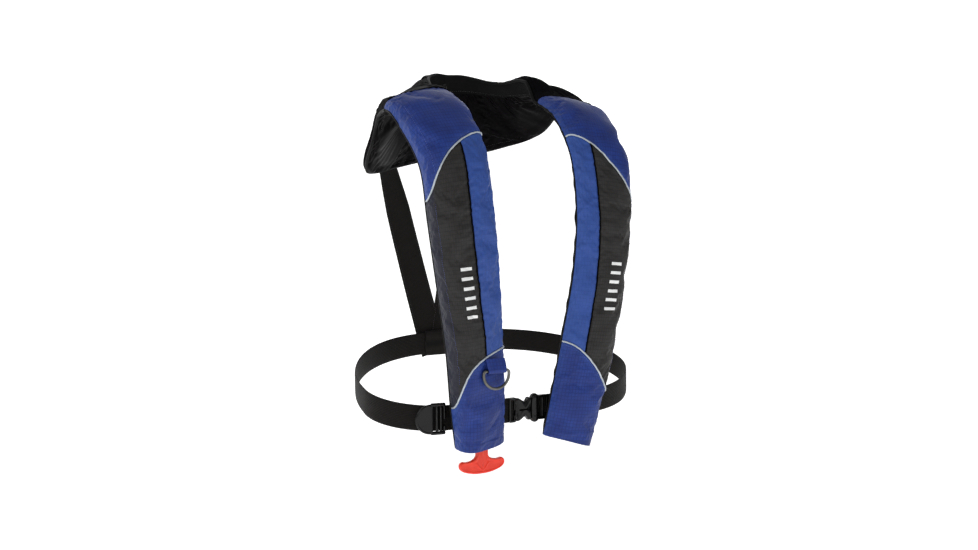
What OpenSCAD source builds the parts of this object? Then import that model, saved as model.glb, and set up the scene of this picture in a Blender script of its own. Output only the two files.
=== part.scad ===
// Inflatable life jacket: horseshoe cover with two front lobes, folded bladder, hand inflator,
// oral tube, back harness and waist belt. X to the wearer's left, Y to the wearer's back, Z up.
// The origin lies between the shoulders, at the height where the cover rests on them.

/* [Cover] */
// Height of the front lobes from toe to shoulder crest
front_len = 482; // [440:1:540]
// Gap between the lobes at the toes
toe_gap = 68; // [54:1:96]
// Gap between the lobes at the chest
chest_gap = 138; // [116:1:160]
// Width of a lobe at the toe
toe_w = 75; // [66:1:92]
// Width of a lobe at the chest
chest_w = 97; // [84:1:116]
// How far the chest stands forward of the shoulders
chest_reach = 148; // [120:1:170]
// How far the back of the neck lies behind the shoulders
neck_back = 115; // [95:1:135]
// Height of the collar at the middle of the back
collar_h = 127; // [110:1:170]
// Depth of a lobe in front of its edge seam
lobe_t = 36; // [30:1:42]
// Depth of a lobe behind its edge seam
lining_t = 15; // [13:1:20]
// How much lower the right side of the collar hangs, per mm across
collar_lean = 0.13; // [0:0.01:0.16]
// Thickness of the cover cloth with its backing
cloth_t = 1.4; // [1:0.1:2]
// Radius of the silver piping
piping_r = 1.3; // [0.8:0.1:1.8]

/* [Harness] */
// Width of the webbing of the belt
belt_w = 35; // [25:1:40]
// Thickness of the webbing
web_t = 2.2; // [1.6:0.1:3]
// How far the belt reaches out on the wearer's right
belt_reach_r = 205; // [170:1:230]
// How far the belt reaches out on the wearer's left
belt_reach_l = 252; // [190:1:270]
// Depth of the belt from its front run to its back run
belt_depth = 250; // [220:1:300]
// How much higher the belt runs at the back
belt_rise = 66; // [20:1:90]
// Width of the straps down the back
strap_w = 46; // [38:1:52]
// Wire of the D-ring
ring_wire = 4; // [3:0.5:5]
// Outer width of the D-ring
ring_w = 43; // [38:1:50]

/* [Buckle] */
// Length of the buckle's socket half
socket_l = 30; // [26:1:36]
// Height of the buckle
buckle_h = 33; // [28:1:37]
// Thickness of the buckle
buckle_t = 11; // [9:0.5:13]

/* [Inflator] */
// Radius of the gas cylinder
gas_r = 11; // [9:0.5:12]
// Length of the gas cylinder
gas_l = 112; // [90:1:125]
// Width of the pull handle
handle_w = 68; // [56:1:76]
// Length of the oral tube
tube_l = 118; // [95:1:130]
// Radius of the oral tube
tube_r = 5.5; // [4.5:0.5:6.5]

/* [Hidden] */
rest_h = 434;                  // toes to origin
gap = 0.4;                     // air kept between neighbouring pieces
in_toe = toe_gap / 2;
in_chest = chest_gap / 2;

// Stations from toe to back centre. Each row: share of the front height, share from toe to chest of the
// inner edge, share of the reach, share from toe to chest of the lobe width, outer edge's offsets in Y
// and Z, depth shares in front and behind.
lobe_rows = [
  [0.000, 0.00, 0.757, 0.00, -4, -7, 0.80, 0.95],
  [0.117, 0.14, 0.838, 0.30, 1, -4, 0.92, 1.00],
  [0.297, 0.44, 0.926, 0.42, 4, -4, 1.00, 1.00],
  [0.481, 0.74, 1.000, 0.55, 15, -6, 1.00, 0.95],
  [0.660, 0.94, 0.986, 0.72, 16, -12, 1.00, 0.85],
  [0.822, 1.00, 0.865, 0.92, 8, -18, 0.92, 0.70],
  [0.938, 1.03, 0.574, 1.27, 5, -22, 0.78, 0.52],
  [1.000, 1.08, 0.176, 1.40, -20, -26, 0.60, 0.40]];

function vx(r) = in_toe + (in_chest - in_toe) * r[1];
function lobe_st(r) = let (x = vx(r), y = -chest_reach * r[2], z = front_len * r[0] - rest_h + 4)
  [x, y, z, x + toe_w + (chest_w - toe_w) * r[3], y + r[4], z + r[5], lobe_t * r[6], lining_t * r[7]];
top = front_len - rest_h + 4;  // height of the crest's inner edge
nb = neck_back;
stations = concat([for (r = lobe_rows) lobe_st(r)], [
  [in_chest * 0.97, nb * 0.30, top + 19, in_chest + 97, nb * 0.14, top - 34, lobe_t * 0.50, lining_t * 0.35],
  [in_chest * 0.70, nb * 0.74, top + 40, in_chest + 81, nb * 0.76, top - 72, lobe_t * 0.40, lining_t * 0.32],
  [in_chest * 0.35, nb * 0.94, top + 49, in_chest + 7, nb * 1.22, top - 80, lobe_t * 0.36, lining_t * 0.32],
  [0, nb, top + 49, 0, nb + 45, top + 49 - collar_h, lobe_t * 0.34, lining_t * 0.32]]);
last = len(stations) - 1;

// Smooth curve through the stations; beyond the back centre it is mirrored.
function mir(p) = [-p[0], p[1], p[2], -p[3], p[4], p[5], p[6], p[7]];
function stn(i) = i < 0 ? 2 * stations[0] - stations[1] : i > last ? mir(stations[2 * last - i]) : stations[i];
function cr(s) = let (k = max(0, min(2 * last - 1, floor(s))), f = s - k,
    a = stn(k - 1), b = stn(k), c = stn(k + 1), d = stn(k + 2))
  0.5 * (2 * b + (c - a) * f + (2 * a - 5 * b + 4 * c - d) * f * f + (3 * b - a - 3 * c + d) * f * f * f);
function cut(q, i) = [q[i], q[i + 1], q[i + 2]];
function unit(v) = v / norm(v);
function mid(s) = let (q = cr(s)) (cut(q, 0) + cut(q, 3)) / 2;
function wide(s) = let (q = cr(s)) unit(cut(q, 3) - cut(q, 0));
function out_dir(s) = -unit(cross(mid(s + 0.01) - mid(s - 0.01), wide(s)));
function oval(t) = pow(max(0, 1 - pow(abs(2 * t - 1), 2.6)), 1 / 2.6);
// The lobes are boxier on the outside edge; over the shoulder this evens out.
function bias(s, t) = let (w = max(0, min(1, (7.5 - s) / 3))) 1 - w * 0.65 * (1 - t);
function clamp01(v) = max(0, min(1, v));
// The collar leans: points behind the shoulders are lowered on the right and raised on the left.
function leaned(p, t) = [p[0], p[1], p[2] + p[0] * clamp01(t * 1.2) *
  (collar_lean * clamp01((p[1] - 20) / 100) + 0.92 * collar_lean * clamp01(p[1] / 40) * clamp01((170 - p[1]) / 80))];
// On the left the collar stands up higher just behind the shoulder.
function ramp(v) = let (c = clamp01(v)) c * c * (3 - 2 * c);
function stood(s, t) = s > 11 ? 0 : ramp((s - 6.95) / 0.45) * (
  24 * exp(-pow(max(0, s - 7.5) / 0.8, 2)) * clamp01(1 - t / 0.3) +
  12 * exp(-pow(max(0, s - 7.4) / 0.6, 2)) * sin(180 * clamp01(t)) +
  22 * exp(-pow((s - 8.2) / 0.5, 2)) * t * t);

// Point of the cover: s along, t across, inset d inward, lift along the outward direction.
function front_at(s, t, d, e = 0) = let (q = cr(s), w = wide(s), n = out_dir(s),
    a = cut(q, 0) + w * d, b = cut(q, 3) - w * d)
  leaned(a * (1 - t) + b * t + n * (gap / 2 + e + (q[6] - d) * oval(t) * bias(s, t)), t) + [0, 0, stood(s, t)];
function rear_at(s, t, d, e = 0) = let (q = cr(s), w = wide(s), n = out_dir(s),
    a = cut(q, 0) + w * d, b = cut(q, 3) - w * d)
  leaned(a * (1 - t) + b * t - n * (gap / 2 + e + (q[7] - d) * oval(t)), t) + [0, 0, stood(s, t)];

// Closed sheet between two equal grids of points.
module slab(A, B, flip = false) {
  n = len(A); m = len(A[0]); k = n * m;
  pts = concat([for (r = A) for (p = r) p], [for (r = B) for (p = r) p]);
  quads = concat(
    [for (i = [0:n - 2]) for (j = [0:m - 2]) [i * m + j, i * m + j + 1, i * m + m + j + 1, i * m + m + j]],
    [for (i = [0:n - 2]) for (j = [0:m - 2])
      [k + i * m + j, k + i * m + m + j, k + i * m + m + j + 1, k + i * m + j + 1]],
    [for (i = [0:n - 2]) [i * m, i * m + m, k + i * m + m, k + i * m]],
    [for (i = [0:n - 2]) [i * m + m - 1, k + i * m + m - 1, k + i * m + 2 * m - 1, i * m + 2 * m - 1]],
    [for (j = [0:m - 2]) [j, k + j, k + j + 1, j + 1]],
    [for (j = [0:m - 2]) let (r = (n - 1) * m + j) [r, r + 1, k + r + 1, k + r]]);
  tris = [for (q = quads) each [[q[0], q[1], q[2]], [q[0], q[2], q[3]]]];
  polyhedron(points = pts, faces = flip ? [for (f = tris) [f[2], f[1], f[0]]] : tris, convexity = 8);
}

// Seams: height along the cover as a function of the place across it, a little different on each side.
function upper_s(t, side) = side > 0 ? 5.45 - 1.2 * pow(t, 1.25) : 5.40 - 0.65 * pow(t, 1.4) - 0.4 * pow(t, 8);
function lower_s(t, side) = side > 0 ? 1.94 - 0.85 * pow(t, 1.6) : 1.94 - 0.25 * pow(t, 1.5) - 0.61 * pow(t, 7);
function crest_at(t) = 6.88 + 0.27 * pow(t, 8);
function toe_at(t, side) = 0.02 + (side > 0 ? -0.2 : 0.09) * pow(t, 1.3);
// Place across of the seam beside the inner strip, from its foot (a = 0) to its top (a = 1).
function strip_at(a, side) = side > 0 ? 0.351 - 0.101 * a : 0.43;
function per_s(s) = norm(mid(s + 0.05) - mid(s - 0.05)) / 0.1;
edge = piping_r + gap;         // a panel stops this far from the middle of a seam
e_up = edge / per_s(5); e_low = edge / per_s(2);
// Grid between two seams; ta and tb give its inner and outer edge at each share of its height.
function panel(n, m, ta, tb, s0, s1, d) = [for (i = [0:n]) let (a = i / n) [for (j = [0:m])
  let (t = ta(a) + (tb(a) - ta(a)) * j / m) front_at(s0(t) + (s1(t) - s0(t)) * a, t, d)]];
function grid(n, t0, t1, m, f) = [for (i = [0:n]) [for (j = [0:m]) f(i / n, t0 + (t1 - t0) * j / m)]];

module cover_panel(n, m, ta, tb, s0, s1)
  slab(panel(n, m, ta, tb, s0, s1, 0), panel(n, m, ta, tb, s0, s1, cloth_t), true);
module left_right(side) { if (side > 0) children(); else mirror([1, 0, 0]) children(); }

module shoulder_panel(side) color([0.16, 0.22, 0.58]) left_right(side)
  cover_panel(12, 12, function (a) 0, function (a) 1,
    function (t) upper_s(t, side) + e_up, function (t) crest_at(t));
module side_panel(side) color([0.17, 0.17, 0.18]) left_right(side)
  cover_panel(16, 9, function (a) strip_at(a, side) + edge / chest_w, function (a) 1,
    function (t) lower_s(t, side) + e_low, function (t) upper_s(t, side) - e_up);
module inner_strip(side) color([0.18, 0.26, 0.62]) left_right(side)
  cover_panel(16, 6, function (a) 0, function (a) strip_at(a, side) - edge / chest_w,
    function (t) lower_s(t, side) + e_low, function (t) upper_s(t, side) - e_up);
module toe_panel(side) color([0.16, 0.22, 0.58]) left_right(side)
  cover_panel(8, 12, function (a) 0, function (a) 1,
    function (t) toe_at(t, side), function (t) lower_s(t, side) - edge / per_s(1.5));

// Round cord laid on the cover along a list of [s, t] places.
module cord_on(path, r, lift) {
  n = len(path) - 1;
  pts = [for (q = path) front_at(q[0], q[1], 0, lift)];
  outs = [for (q = path) out_dir(q[0])];
  ring = [for (i = [0:n]) let (a = pts[max(0, i - 1)], b = pts[min(n, i + 1)], d = unit(b - a),
      u = unit(cross(d, outs[i])), v = cross(u, d))
    [for (k = [0:7]) pts[i] + r * (u * cos(45 * k) + v * sin(45 * k))]];
  all = [for (r = ring) for (p = r) p];
  polyhedron(points = concat(all, [pts[0], pts[n]]), convexity = 8, faces = concat(
    [for (i = [0:n - 1]) for (k = [0:7]) each [
      [i * 8 + k, i * 8 + (k + 1) % 8, i * 8 + 8 + (k + 1) % 8],
      [i * 8 + k, i * 8 + 8 + (k + 1) % 8, i * 8 + 8 + k]]],
    [for (k = [0:7]) [8 * n + 8, (k + 1) % 8, k]],
    [for (k = [0:7]) [8 * n + 9, n * 8 + k, n * 8 + (k + 1) % 8]]));
}
module upper_piping(side) color([0.78, 0.8, 0.84]) left_right(side)
  cord_on([for (i = [0:18]) let (t = 0.01 + 0.98 * i / 18) [upper_s(t, side), t]], piping_r, 0);
module lower_piping(side) color([0.78, 0.8, 0.84]) left_right(side)
  cord_on([for (i = [0:18]) let (t = 0.01 + 0.98 * i / 18) [lower_s(t, side), t]], piping_r, 0);
module strip_piping(side) color([0.08, 0.08, 0.09]) left_right(side)
  cord_on([for (i = [0:20]) let (a = i / 20, t = strip_at(a, side), s0 = lower_s(t, side) + 2 * e_low,
    s1 = upper_s(t, side) - 2 * e_up) [s0 + (s1 - s0) * a, t]], piping_r * 0.8, 0);

function lining_grid(d, side) = grid(26, 0, 1, 10, function (a, t)
  rear_at(toe_at(t, side) + (crest_at(t) - toe_at(t, side)) * a, t, d));
module lining(side) color([0.07, 0.07, 0.08]) left_right(side) slab(lining_grid(0, side), lining_grid(cloth_t, side));

// Closing cloth across the foot of a lobe, with the gap for the handle's stem left open on the right.
module toe_half(t0, t1, side) {
  rows = [for (j = [0:8]) t0 + (t1 - t0) * j / 8];
  k0 = gap / per_s(0.1); k1 = k0 + cloth_t / per_s(0.1);
  in = cloth_t + gap;
  function line(k) = [for (t = rows) front_at(toe_at(t, side) + k, t, in, -gap)];
  function back(k) = [for (t = rows) rear_at(toe_at(t, side) + k, t, in, -gap)];
  slab([line(k0), back(k0)], [line(k1), back(k1)]);
}
slot_t = 0.15;
module toe_cap(side) color([0.10, 0.13, 0.34]) left_right(side) {
  if (side > 0) toe_half(0.02, 0.98, side);
  else { toe_half(0.02, 0.5 - slot_t, side); toe_half(0.5 + slot_t, 0.98, side); }
}

back_n = 30;
function back_s(a, t) = let (s0 = crest_at(t) + 0.02) s0 + (2 * last - 2 * s0) * a;
module back_panel() color([0.06, 0.06, 0.07])
  slab(grid(back_n, 0, 1, 9, function (a, t) front_at(back_s(a, t), t, 0)),
       grid(back_n, 0, 1, 9, function (a, t) front_at(back_s(a, t), t, cloth_t)), true);
band_t = 0.2;
module back_lining() color([0.10, 0.09, 0.11])
  slab(grid(back_n, band_t, 1, 8, function (a, t) rear_at(back_s(a, t), t, 0)),
       grid(back_n, band_t, 1, 8, function (a, t) rear_at(back_s(a, t), t, cloth_t)));
module neck_band() color([0.05, 0.05, 0.05])
  slab(grid(back_n, 0, band_t - 0.008, 3, function (a, t) rear_at(back_s(a, t), t, 0)),
       grid(back_n, 0, band_t - 0.008, 3, function (a, t) rear_at(back_s(a, t), t, cloth_t)));

// Folded bladder: a thin tail beside the lining at the toe, a thick pack above it.
tail = 3;
function pack_up(s) = let (w = clamp01((s - 2.75) / 0.5)) w * w * (3 - 2 * w);
function fold_front(s, t) = let (q = cr(s), n = out_dir(s), d = cloth_t + 5, a = cut(q, 0) + wide(s) * d,
    b = cut(q, 3) - wide(s) * d, lo = -q[7] * 0.8 + cloth_t + 1 + tail, hi = q[6] * oval(t) * bias(s, t) * 0.72 - 3,
    h = lo + max(0, hi - lo) * pack_up(s))
  a * (1 - t) + b * t + n * h;
function fold_rear(s, t) = let (q = cr(s), n = out_dir(s), d = cloth_t + 5, a = cut(q, 0) + wide(s) * d,
    b = cut(q, 3) - wide(s) * d)
  a * (1 - t) + b * t + n * (-q[7] * 0.8 + cloth_t + 1);
function fold(front, s0, s1, n, lean) = grid(n, lean ? 0.2 : 0.1, lean ? 0.8 : 0.9, 7, function (a, t) let (s = s0 + (s1 - s0) * a,
    f = fold_front(s, t), r = fold_rear(s, t), k = lean ? (front ? 0.66 : 0.3) : (front ? 1 : 0), p = r + (f - r) * k)
  lean ? leaned(p, t) + [0, 0, stood(s, t)] : p);
module bladder(side) color([0.95, 0.85, 0.1]) left_right(side)
  slab(fold(true, 0.5, 6.9, 26, false), fold(false, 0.5, 6.9, 26, false), true);
module bladder_neck() color([0.95, 0.85, 0.1])
  slab(fold(true, 7.4, 2 * last - 7.4, 26, true), fold(false, 7.4, 2 * last - 7.4, 26, true), true);

// Belt plan: a straight back run, a quarter oval out to the reach, a tighter one to the straight front run.
belt_yf = -100; belt_yb = belt_yf + belt_depth; belt_zf = -rest_h + 43; front_r = 104; front_l = 112; back_r = 12;
back_l = 60; turn_r = -28; turn_l = 10;
function belt_z(y) = belt_zf + belt_rise * (y - belt_yf) / belt_depth;
function belt_path(reach, ff, fb, yc, x0, x1) = concat([[x0, belt_yb]],
    [for (i = [0:14]) let (a = 90 * i / 14) [fb + (reach - fb) * sin(a), yc + (belt_yb - yc) * cos(a)]],
    [for (i = [1:14]) let (a = 90 * i / 14) [ff + (reach - ff) * cos(a), yc - (yc - belt_yf) * sin(a)]],
    [for (i = [1:3]) [ff + (x1 - ff) * i / 3, belt_yf]]);
module band(path, w, th, side) {
  n = len(path) - 1;
  nrm = [for (i = [0:n]) let (a = path[max(0, i - 1)], b = path[min(n, i + 1)], d = unit(b - a)) [-d[1], d[0]]];
  function edge_pt(i, o, h) = let (p = path[i] + nrm[i] * o) [p[0], p[1], belt_z(path[i][1]) + h];
  left_right(side) slab(
    [for (i = [0:n]) [edge_pt(i, th / 2, -w / 2), edge_pt(i, th / 2, w / 2)]],
    [for (i = [0:n]) [edge_pt(i, -th / 2, -w / 2), edge_pt(i, -th / 2, w / 2)]]);
}
bk_x = 18;                     // where the buckle's halves meet, off the middle toward the wearer's left
bar_x = bk_x - 29;             // bar of the socket half
plug_x = bk_x + 27;            // bar of the plug half
adj_q = 21;                    // point of the right belt run that carries the adjuster
module belt_right() color([0.09, 0.085, 0.08])
  band(belt_path(belt_reach_r, front_r, back_r, turn_r, 4, -bar_x), belt_w, web_t, -1);
module belt_left() color([0.09, 0.085, 0.08])
  band(belt_path(belt_reach_l, front_l, back_l, turn_l, 4, plug_x), belt_w, web_t, 1);

// Sleeve at the foot of the two back straps, round the belt.
sleeve_w = 48;
module hollow_box(w, d, h, wall) {
  difference() {
    cube([w, d + 2 * wall, h + 2 * wall], center = true);
    cube([w + 2, d, h], center = true);
  }
}
module belt_sleeve() color([0.09, 0.085, 0.08])
  translate([0, belt_yb, belt_z(belt_yb)]) hollow_box(sleeve_w, web_t + 1.6, belt_w + 2.4, 1.4);
strap_s_r = 9.8; strap_s_l = 10.25; // stations of the collar where the straps are sewn on
strap_low = 5;                 // distance of a strap's foot from the middle
module strap(side, lay) {
  n = 18;
  ts = [for (i = [0:3]) 0.72 + 0.08 * i];
  function pt(t) = front_at(side > 0 ? strap_s_l : 2 * last - strap_s_r, t, 0, 1.2);
  hem = pt(0.985) + [0, 1.2, -2];
  foot = [side * strap_low, belt_yb + 2.2 + lay, belt_z(belt_yb) - belt_w / 2 + 1];
  run = concat([for (t = ts) pt(t) + [0, 0.8, 0]], [hem], [for (i = [1:n]) let (f = i / n, g = 1 - f)
    [foot[0] + (hem[0] - foot[0]) * g, foot[1] + (hem[1] - foot[1]) * pow(g, 1.6), foot[2] + (hem[2] - foot[2]) * g]]);
  ang = [for (i = [0:len(run) - 1]) let (f = clamp01((i - 4) / 4)) -side * (30 - 18 * f - 12 * clamp01((i - 8) / 13))];
  A = [for (i = [0:len(run) - 1]) [for (k = [-1, 0, 1]) run[i] + k * strap_w / 2 * [cos(ang[i]), sin(ang[i]), 0]]];
  B = [for (r = A) [for (p = r) p + [0, web_t * 0.8, 0]]];
  slab(A, B);
}
module strap_r() color([0.07, 0.065, 0.06]) strap(-1, 2.4);
module strap_l() color([0.07, 0.065, 0.06]) strap(1, 0.2);

// Loops on the linings that carry the belt behind the lobes.
keeper_x = 91; keeper_w = 18;
module keeper(side) color([0.07, 0.07, 0.08]) translate([side * keeper_x, belt_yf, belt_zf])
  hollow_box(keeper_w, web_t + 1.4, belt_w + 2.4, 1.2);

// Sliding adjuster: a frame with three cross bars and a pulled tongue, lying on the front of the belt.
adj_u = 75; adj_p = [-(front_r + (belt_reach_r - front_r) * cos(adj_u)), turn_r - (turn_r - belt_yf) * sin(adj_u)];
adj_a = atan2((turn_r - belt_yf) * cos(adj_u), (belt_reach_r - front_r) * sin(adj_u));
adj_z = belt_z(adj_p[1]);
module on_belt() translate([adj_p[0], adj_p[1], adj_z]) rotate([0, 0, -adj_a]) children();
module adjuster() color([0.03, 0.03, 0.03]) on_belt() translate([0, -4.6, 0]) {
  h = belt_w + 7;
  difference() {
    union() {
      translate([-9, -1.8, -h / 2]) cube([20, 3.6, h]);
      translate([-9, 0, 0]) scale([1.05, 1, 1]) rotate([90, 0, 0]) cylinder(r = h / 2, h = 3, center = true, $fn = 60);
    }
    for (x = [-6, 2.5]) translate([x, -3, -belt_w / 2 - 0.6]) cube([5.6, 6, belt_w + 1.2]);
  }
  for (z = [-1, 1]) translate([1, 0, z * (h / 2 - 1.6)]) rotate([0, 90, 0])
    cylinder(r = 2.4, h = 20, center = true, $fn = 24);
  translate([9, 0, 0]) cylinder(r = 2.4, h = h - 3, center = true, $fn = 32);
}

// Side release buckle: socket half on the right belt run, plug half on the left run.
bk_y = belt_yf; chan_h = 21; chan_t = 6;
module buckle_socket() color([0.03, 0.03, 0.03]) translate([bk_x, bk_y, belt_zf]) difference() {
  union() {
    translate([-26, -buckle_t / 2, -buckle_h / 2]) cube([socket_l - 4, buckle_t, buckle_h]);
    translate([-33, -3, -buckle_h / 2 - 1]) cube([8, 6, buckle_h + 2]);
    for (z = [-1, 1]) translate([-30, 0, z * (buckle_h / 2 - 1)]) rotate([0, 90, 0]) cylinder(r = 3, h = 9, center = true, $fn = 24);
  }
  translate([-22, -chan_t / 2, -chan_h / 2 - 2.5]) cube([socket_l + 5, chan_t, chan_h + 5]);
  for (z = [-1, 1]) translate([-10, 0, z * (buckle_h / 2 + 4.5)]) rotate([90, 0, 0]) cylinder(r = 9, h = 20, center = true, $fn = 36);
  translate([-31, -4, -belt_w / 2 + 1]) cube([4.5, 8, belt_w - 2]);
}
module buckle_plug() color([0.03, 0.03, 0.03]) translate([bk_x, bk_y, belt_zf]) {
  difference() {
    union() {
      translate([0.6, -buckle_t / 2, -buckle_h / 2]) cube([13, buckle_t, buckle_h]);
      translate([13, -3, -buckle_h / 2 - 1]) cube([17, 6, buckle_h + 2]);
      for (z = [-1, 1]) translate([7, 0, z * (buckle_h / 2 - 2)]) rotate([90, 0, 0]) cylinder(r = 5.5, h = buckle_t, center = true, $fn = 30);
    }
    translate([16.5, -4, -belt_w / 2 + 1]) cube([4.5, 8, belt_w - 2]);
    translate([23, -4, -belt_w / 2 + 1]) cube([4.5, 8, belt_w - 2]);
    for (z = [-1, 1]) translate([-2, -3, z * 8 - 3.4]) cube([6, 6, 6.8]);
    for (z = [-1, 1]) translate([4.4, 0, z * 8]) rotate([90, 0, 0]) cylinder(r = 2.45, h = 6, center = true, $fn = 36);
  }
  translate([-19, -2, -2]) cube([20, 4, 4]);
}
module prong(z) translate([bk_x, bk_y, belt_zf]) {
  translate([4.4, 0, z * 8]) rotate([90, 0, 0]) cylinder(r = 2.4, h = 5, center = true, $fn = 30);
  hull() {
    translate([2, -2.5, z * 8 - 1.6]) cube([1, 5, 3.2]);
    translate([-17, -2.5, z * 9.4 - 2.2]) cube([5, 5, 4.4]);
  }
  translate([-17, 0, z * 9.4]) rotate([90, 0, 0]) cylinder(r = 2.6, h = 5, center = true, $fn = 30);
}
module prong_upper() color([0.03, 0.03, 0.03]) prong(1);
module prong_lower() color([0.03, 0.03, 0.03]) prong(-1);

// D-ring hanging in a cloth tab on the right lobe.
ring_s = 1.66; ring_t = 0.30;
rp = front_at(ring_s, ring_t, 0);
ring_c = [-rp[0], min([for (t = [0.04:0.04:0.52]) front_at(ring_s, t, 0)[1]]) - ring_wire / 2 - 0.8, rp[2]];
module d_ring() color([0.5, 0.5, 0.48]) translate(ring_c) {
  r = ring_wire / 2; hw = ring_w / 2 - r; drop = ring_w * 0.66 - ring_wire;
  rotate([0, 90, 0]) cylinder(r = r, h = 2 * hw - 8, center = true, $fn = 28);
  for (x = [-1, 1]) translate([x * (hw - 4), 0, -4]) mirror([x < 0 ? 1 : 0, 0, 0])
    rotate([90, 0, 0]) rotate_extrude(angle = 90, $fn = 48) translate([4, 0]) circle(r = r, $fn = 28);
  for (x = [-1, 1]) translate([x * hw, 0, -(drop - hw)]) cylinder(r = r, h = drop - hw - 4, $fn = 28);
  translate([0, 0, -(drop - hw)]) rotate([90, 0, 0]) rotate([0, 0, 180])
    rotate_extrude(angle = 180, $fn = 72) translate([hw, 0]) circle(r = r, $fn = 28);
}
module ring_tab() color([0.16, 0.22, 0.58]) translate(ring_c) {
  w = ring_w - 2 * ring_wire - 4; r = ring_wire / 2;
  rotate([0, 90, 0]) difference() {
    cylinder(r = r + 1.5, h = w, center = true, $fn = 36);
    cylinder(r = r + 0.3, h = w + 2, center = true, $fn = 36);
    translate([-20, 0, -w]) cube([20, 20, 2 * w]);
  }
  translate([-w / 2, r + 0.3, 0]) cube([w, 1.2, 4]);
  translate([-w / 2, -r - 1.5, 0]) cube([w, 1.2, 3]);
}

// Local frame in a lobe near the toe: +Z up the lobe, -Y out through the front.
in_o = mid(0.9); in_z = unit(mid(2.1) - mid(0.9)); in_x = unit(cross([0, 1, 0], in_z)); in_y = cross(in_z, in_x);
module in_lobe(side) left_right(side) multmatrix([
  [in_x[0], in_y[0], in_z[0], in_o[0]], [in_x[1], in_y[1], in_z[1], in_o[1]],
  [in_x[2], in_y[2], in_z[2], in_o[2]], [0, 0, 0, 1]]) children();

// Inflator parts, all on the gas cylinder's axis, set a little outward in the lobe.
ax = 12; ay = 6 - gas_r;
module inflator_body() color([0.9, 0.9, 0.88]) in_lobe(-1) translate([ax, ay, 0]) difference() {
  union() {
    translate([0, 0, 2]) cylinder(r = 11.5, h = 26, $fn = 48);
    translate([0, 5, 15]) rotate([-90, 0, 0]) cylinder(r = 7, h = 6.4, $fn = 40);
    translate([0, 0, 13]) rotate([0, -90, 0]) cylinder(r = 8, h = 16, $fn = 40);
    for (y = [-1, 1]) translate([0, y * 6, -1.6]) translate([-4, -2, -7]) cube([8, 4, 12]);
  }
  translate([0, 0, 19]) cylinder(r = 4.6, h = 12, $fn = 36);
  translate([0, 0, 0]) cylinder(r = 1.55, h = 20, $fn = 30);
  translate([-17, 0, 13]) rotate([0, 90, 0]) cylinder(r = 5.6, h = 8, $fn = 36);
  translate([0, 0, -5]) rotate([90, 0, 0]) cylinder(r = 1.65, h = 30, center = true, $fn = 30);
}
module retaining_nut() color([0.85, 0.85, 0.8]) in_lobe(-1) translate([ax, ay + 11.6, 15]) rotate([-90, 0, 0])
  cylinder(r = 9, h = 2.2, $fn = 6);
module gas_cylinder() color([0.62, 0.63, 0.65]) in_lobe(-1) translate([ax, ay, 0]) rotate_extrude($fn = 60)
  polygon([[0, 20], [4.5, 20], [4.5, 28.6], [gas_r - 3, 34], [gas_r - 1, 37], [gas_r, 41],
    [gas_r, 18 + gas_l], [gas_r - 2, 23 + gas_l], [gas_r - 6, 26 + gas_l], [0, 27 + gas_l]]);
module bobbin() color([0.95, 0.95, 0.95]) in_lobe(-1) translate([ax - 16.8, ay, 13]) rotate([0, 90, 0]) difference() {
  cylinder(r = 5.3, h = 7.4, $fn = 36);
  translate([0, 0, -1]) cylinder(r = 2, h = 10, $fn = 24);
}
module bobbin_cap() color([0.95, 0.8, 0.1]) in_lobe(-1) translate([ax - 17.3, ay, 13]) rotate([0, -90, 0]) {
  cylinder(r = 9, h = 7, $fn = 40);
  for (a = [0:45:315]) rotate([0, 0, a]) translate([9, 0, 0]) cylinder(r = 0.9, h = 7, $fn = 16);
}
module piercing_pin() color([0.7, 0.7, 0.7]) in_lobe(-1) translate([ax, ay, 0]) {
  cylinder(r = 1.5, h = 13, $fn = 30);
  translate([0, 0, 13]) cylinder(r1 = 1.5, r2 = 0.3, h = 3, $fn = 30);
}
lever_l = 17;
module lever() color([0.85, 0.15, 0.1]) in_lobe(-1) translate([ax, ay, -5]) {
  rotate([90, 0, 0]) cylinder(r = 1.6, h = 15.6, center = true, $fn = 30);
  rotate([90, 0, 0]) cylinder(r = 3.6, h = 6.6, center = true, $fn = 36);
  translate([-lever_l - 3, -3, -2]) cube([lever_l + 2, 6, 4]);
}
// Handle under the right toe: stem up through the slot, cross grip below, cord up to the lever's end.
hp = [-mid(0)[0], mid(0)[1] - 5, mid(0)[2] - 10];
lev_end = let (p = [ax - lever_l, ay, -10]) in_o + in_x * p[0] + in_y * p[1] + in_z * p[2];
module lanyard() color([0.8, 0.1, 0.1]) {
  a = [-lev_end[0], lev_end[1], lev_end[2]]; b = hp + [0, 0, 27.5]; d = b - a;
  translate(b) multmatrix([[1, 0, d[0] / d[2], 0], [0, 1, d[1] / d[2], 0], [0, 0, 1, 0], [0, 0, 0, 1]])
    translate([-1, -1, 0]) cube([2, 2, -d[2]]);
}
module pull_handle() color([0.92, 0.24, 0.18]) translate(hp) {
  t = 7; w = handle_w / 2;
  translate([-7, -t / 2, -14]) cube([14, t, 41]);
  difference() {
    union() {
      translate([-w + 6, -t / 2, -20]) cube([2 * w - 12, t, 12]);
      for (x = [-1, 1]) translate([x * (w - 6), 0, -14]) rotate([90, 0, 0])
        cylinder(r = 6, h = t, center = true, $fn = 36);
      translate([0, 0, -6]) rotate([90, 0, 0]) cylinder(r = 20, h = t, center = true, $fn = 60);
    }
    translate([-40, -t, -6.5]) cube([80, 2 * t, 40]);
  }
}

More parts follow.
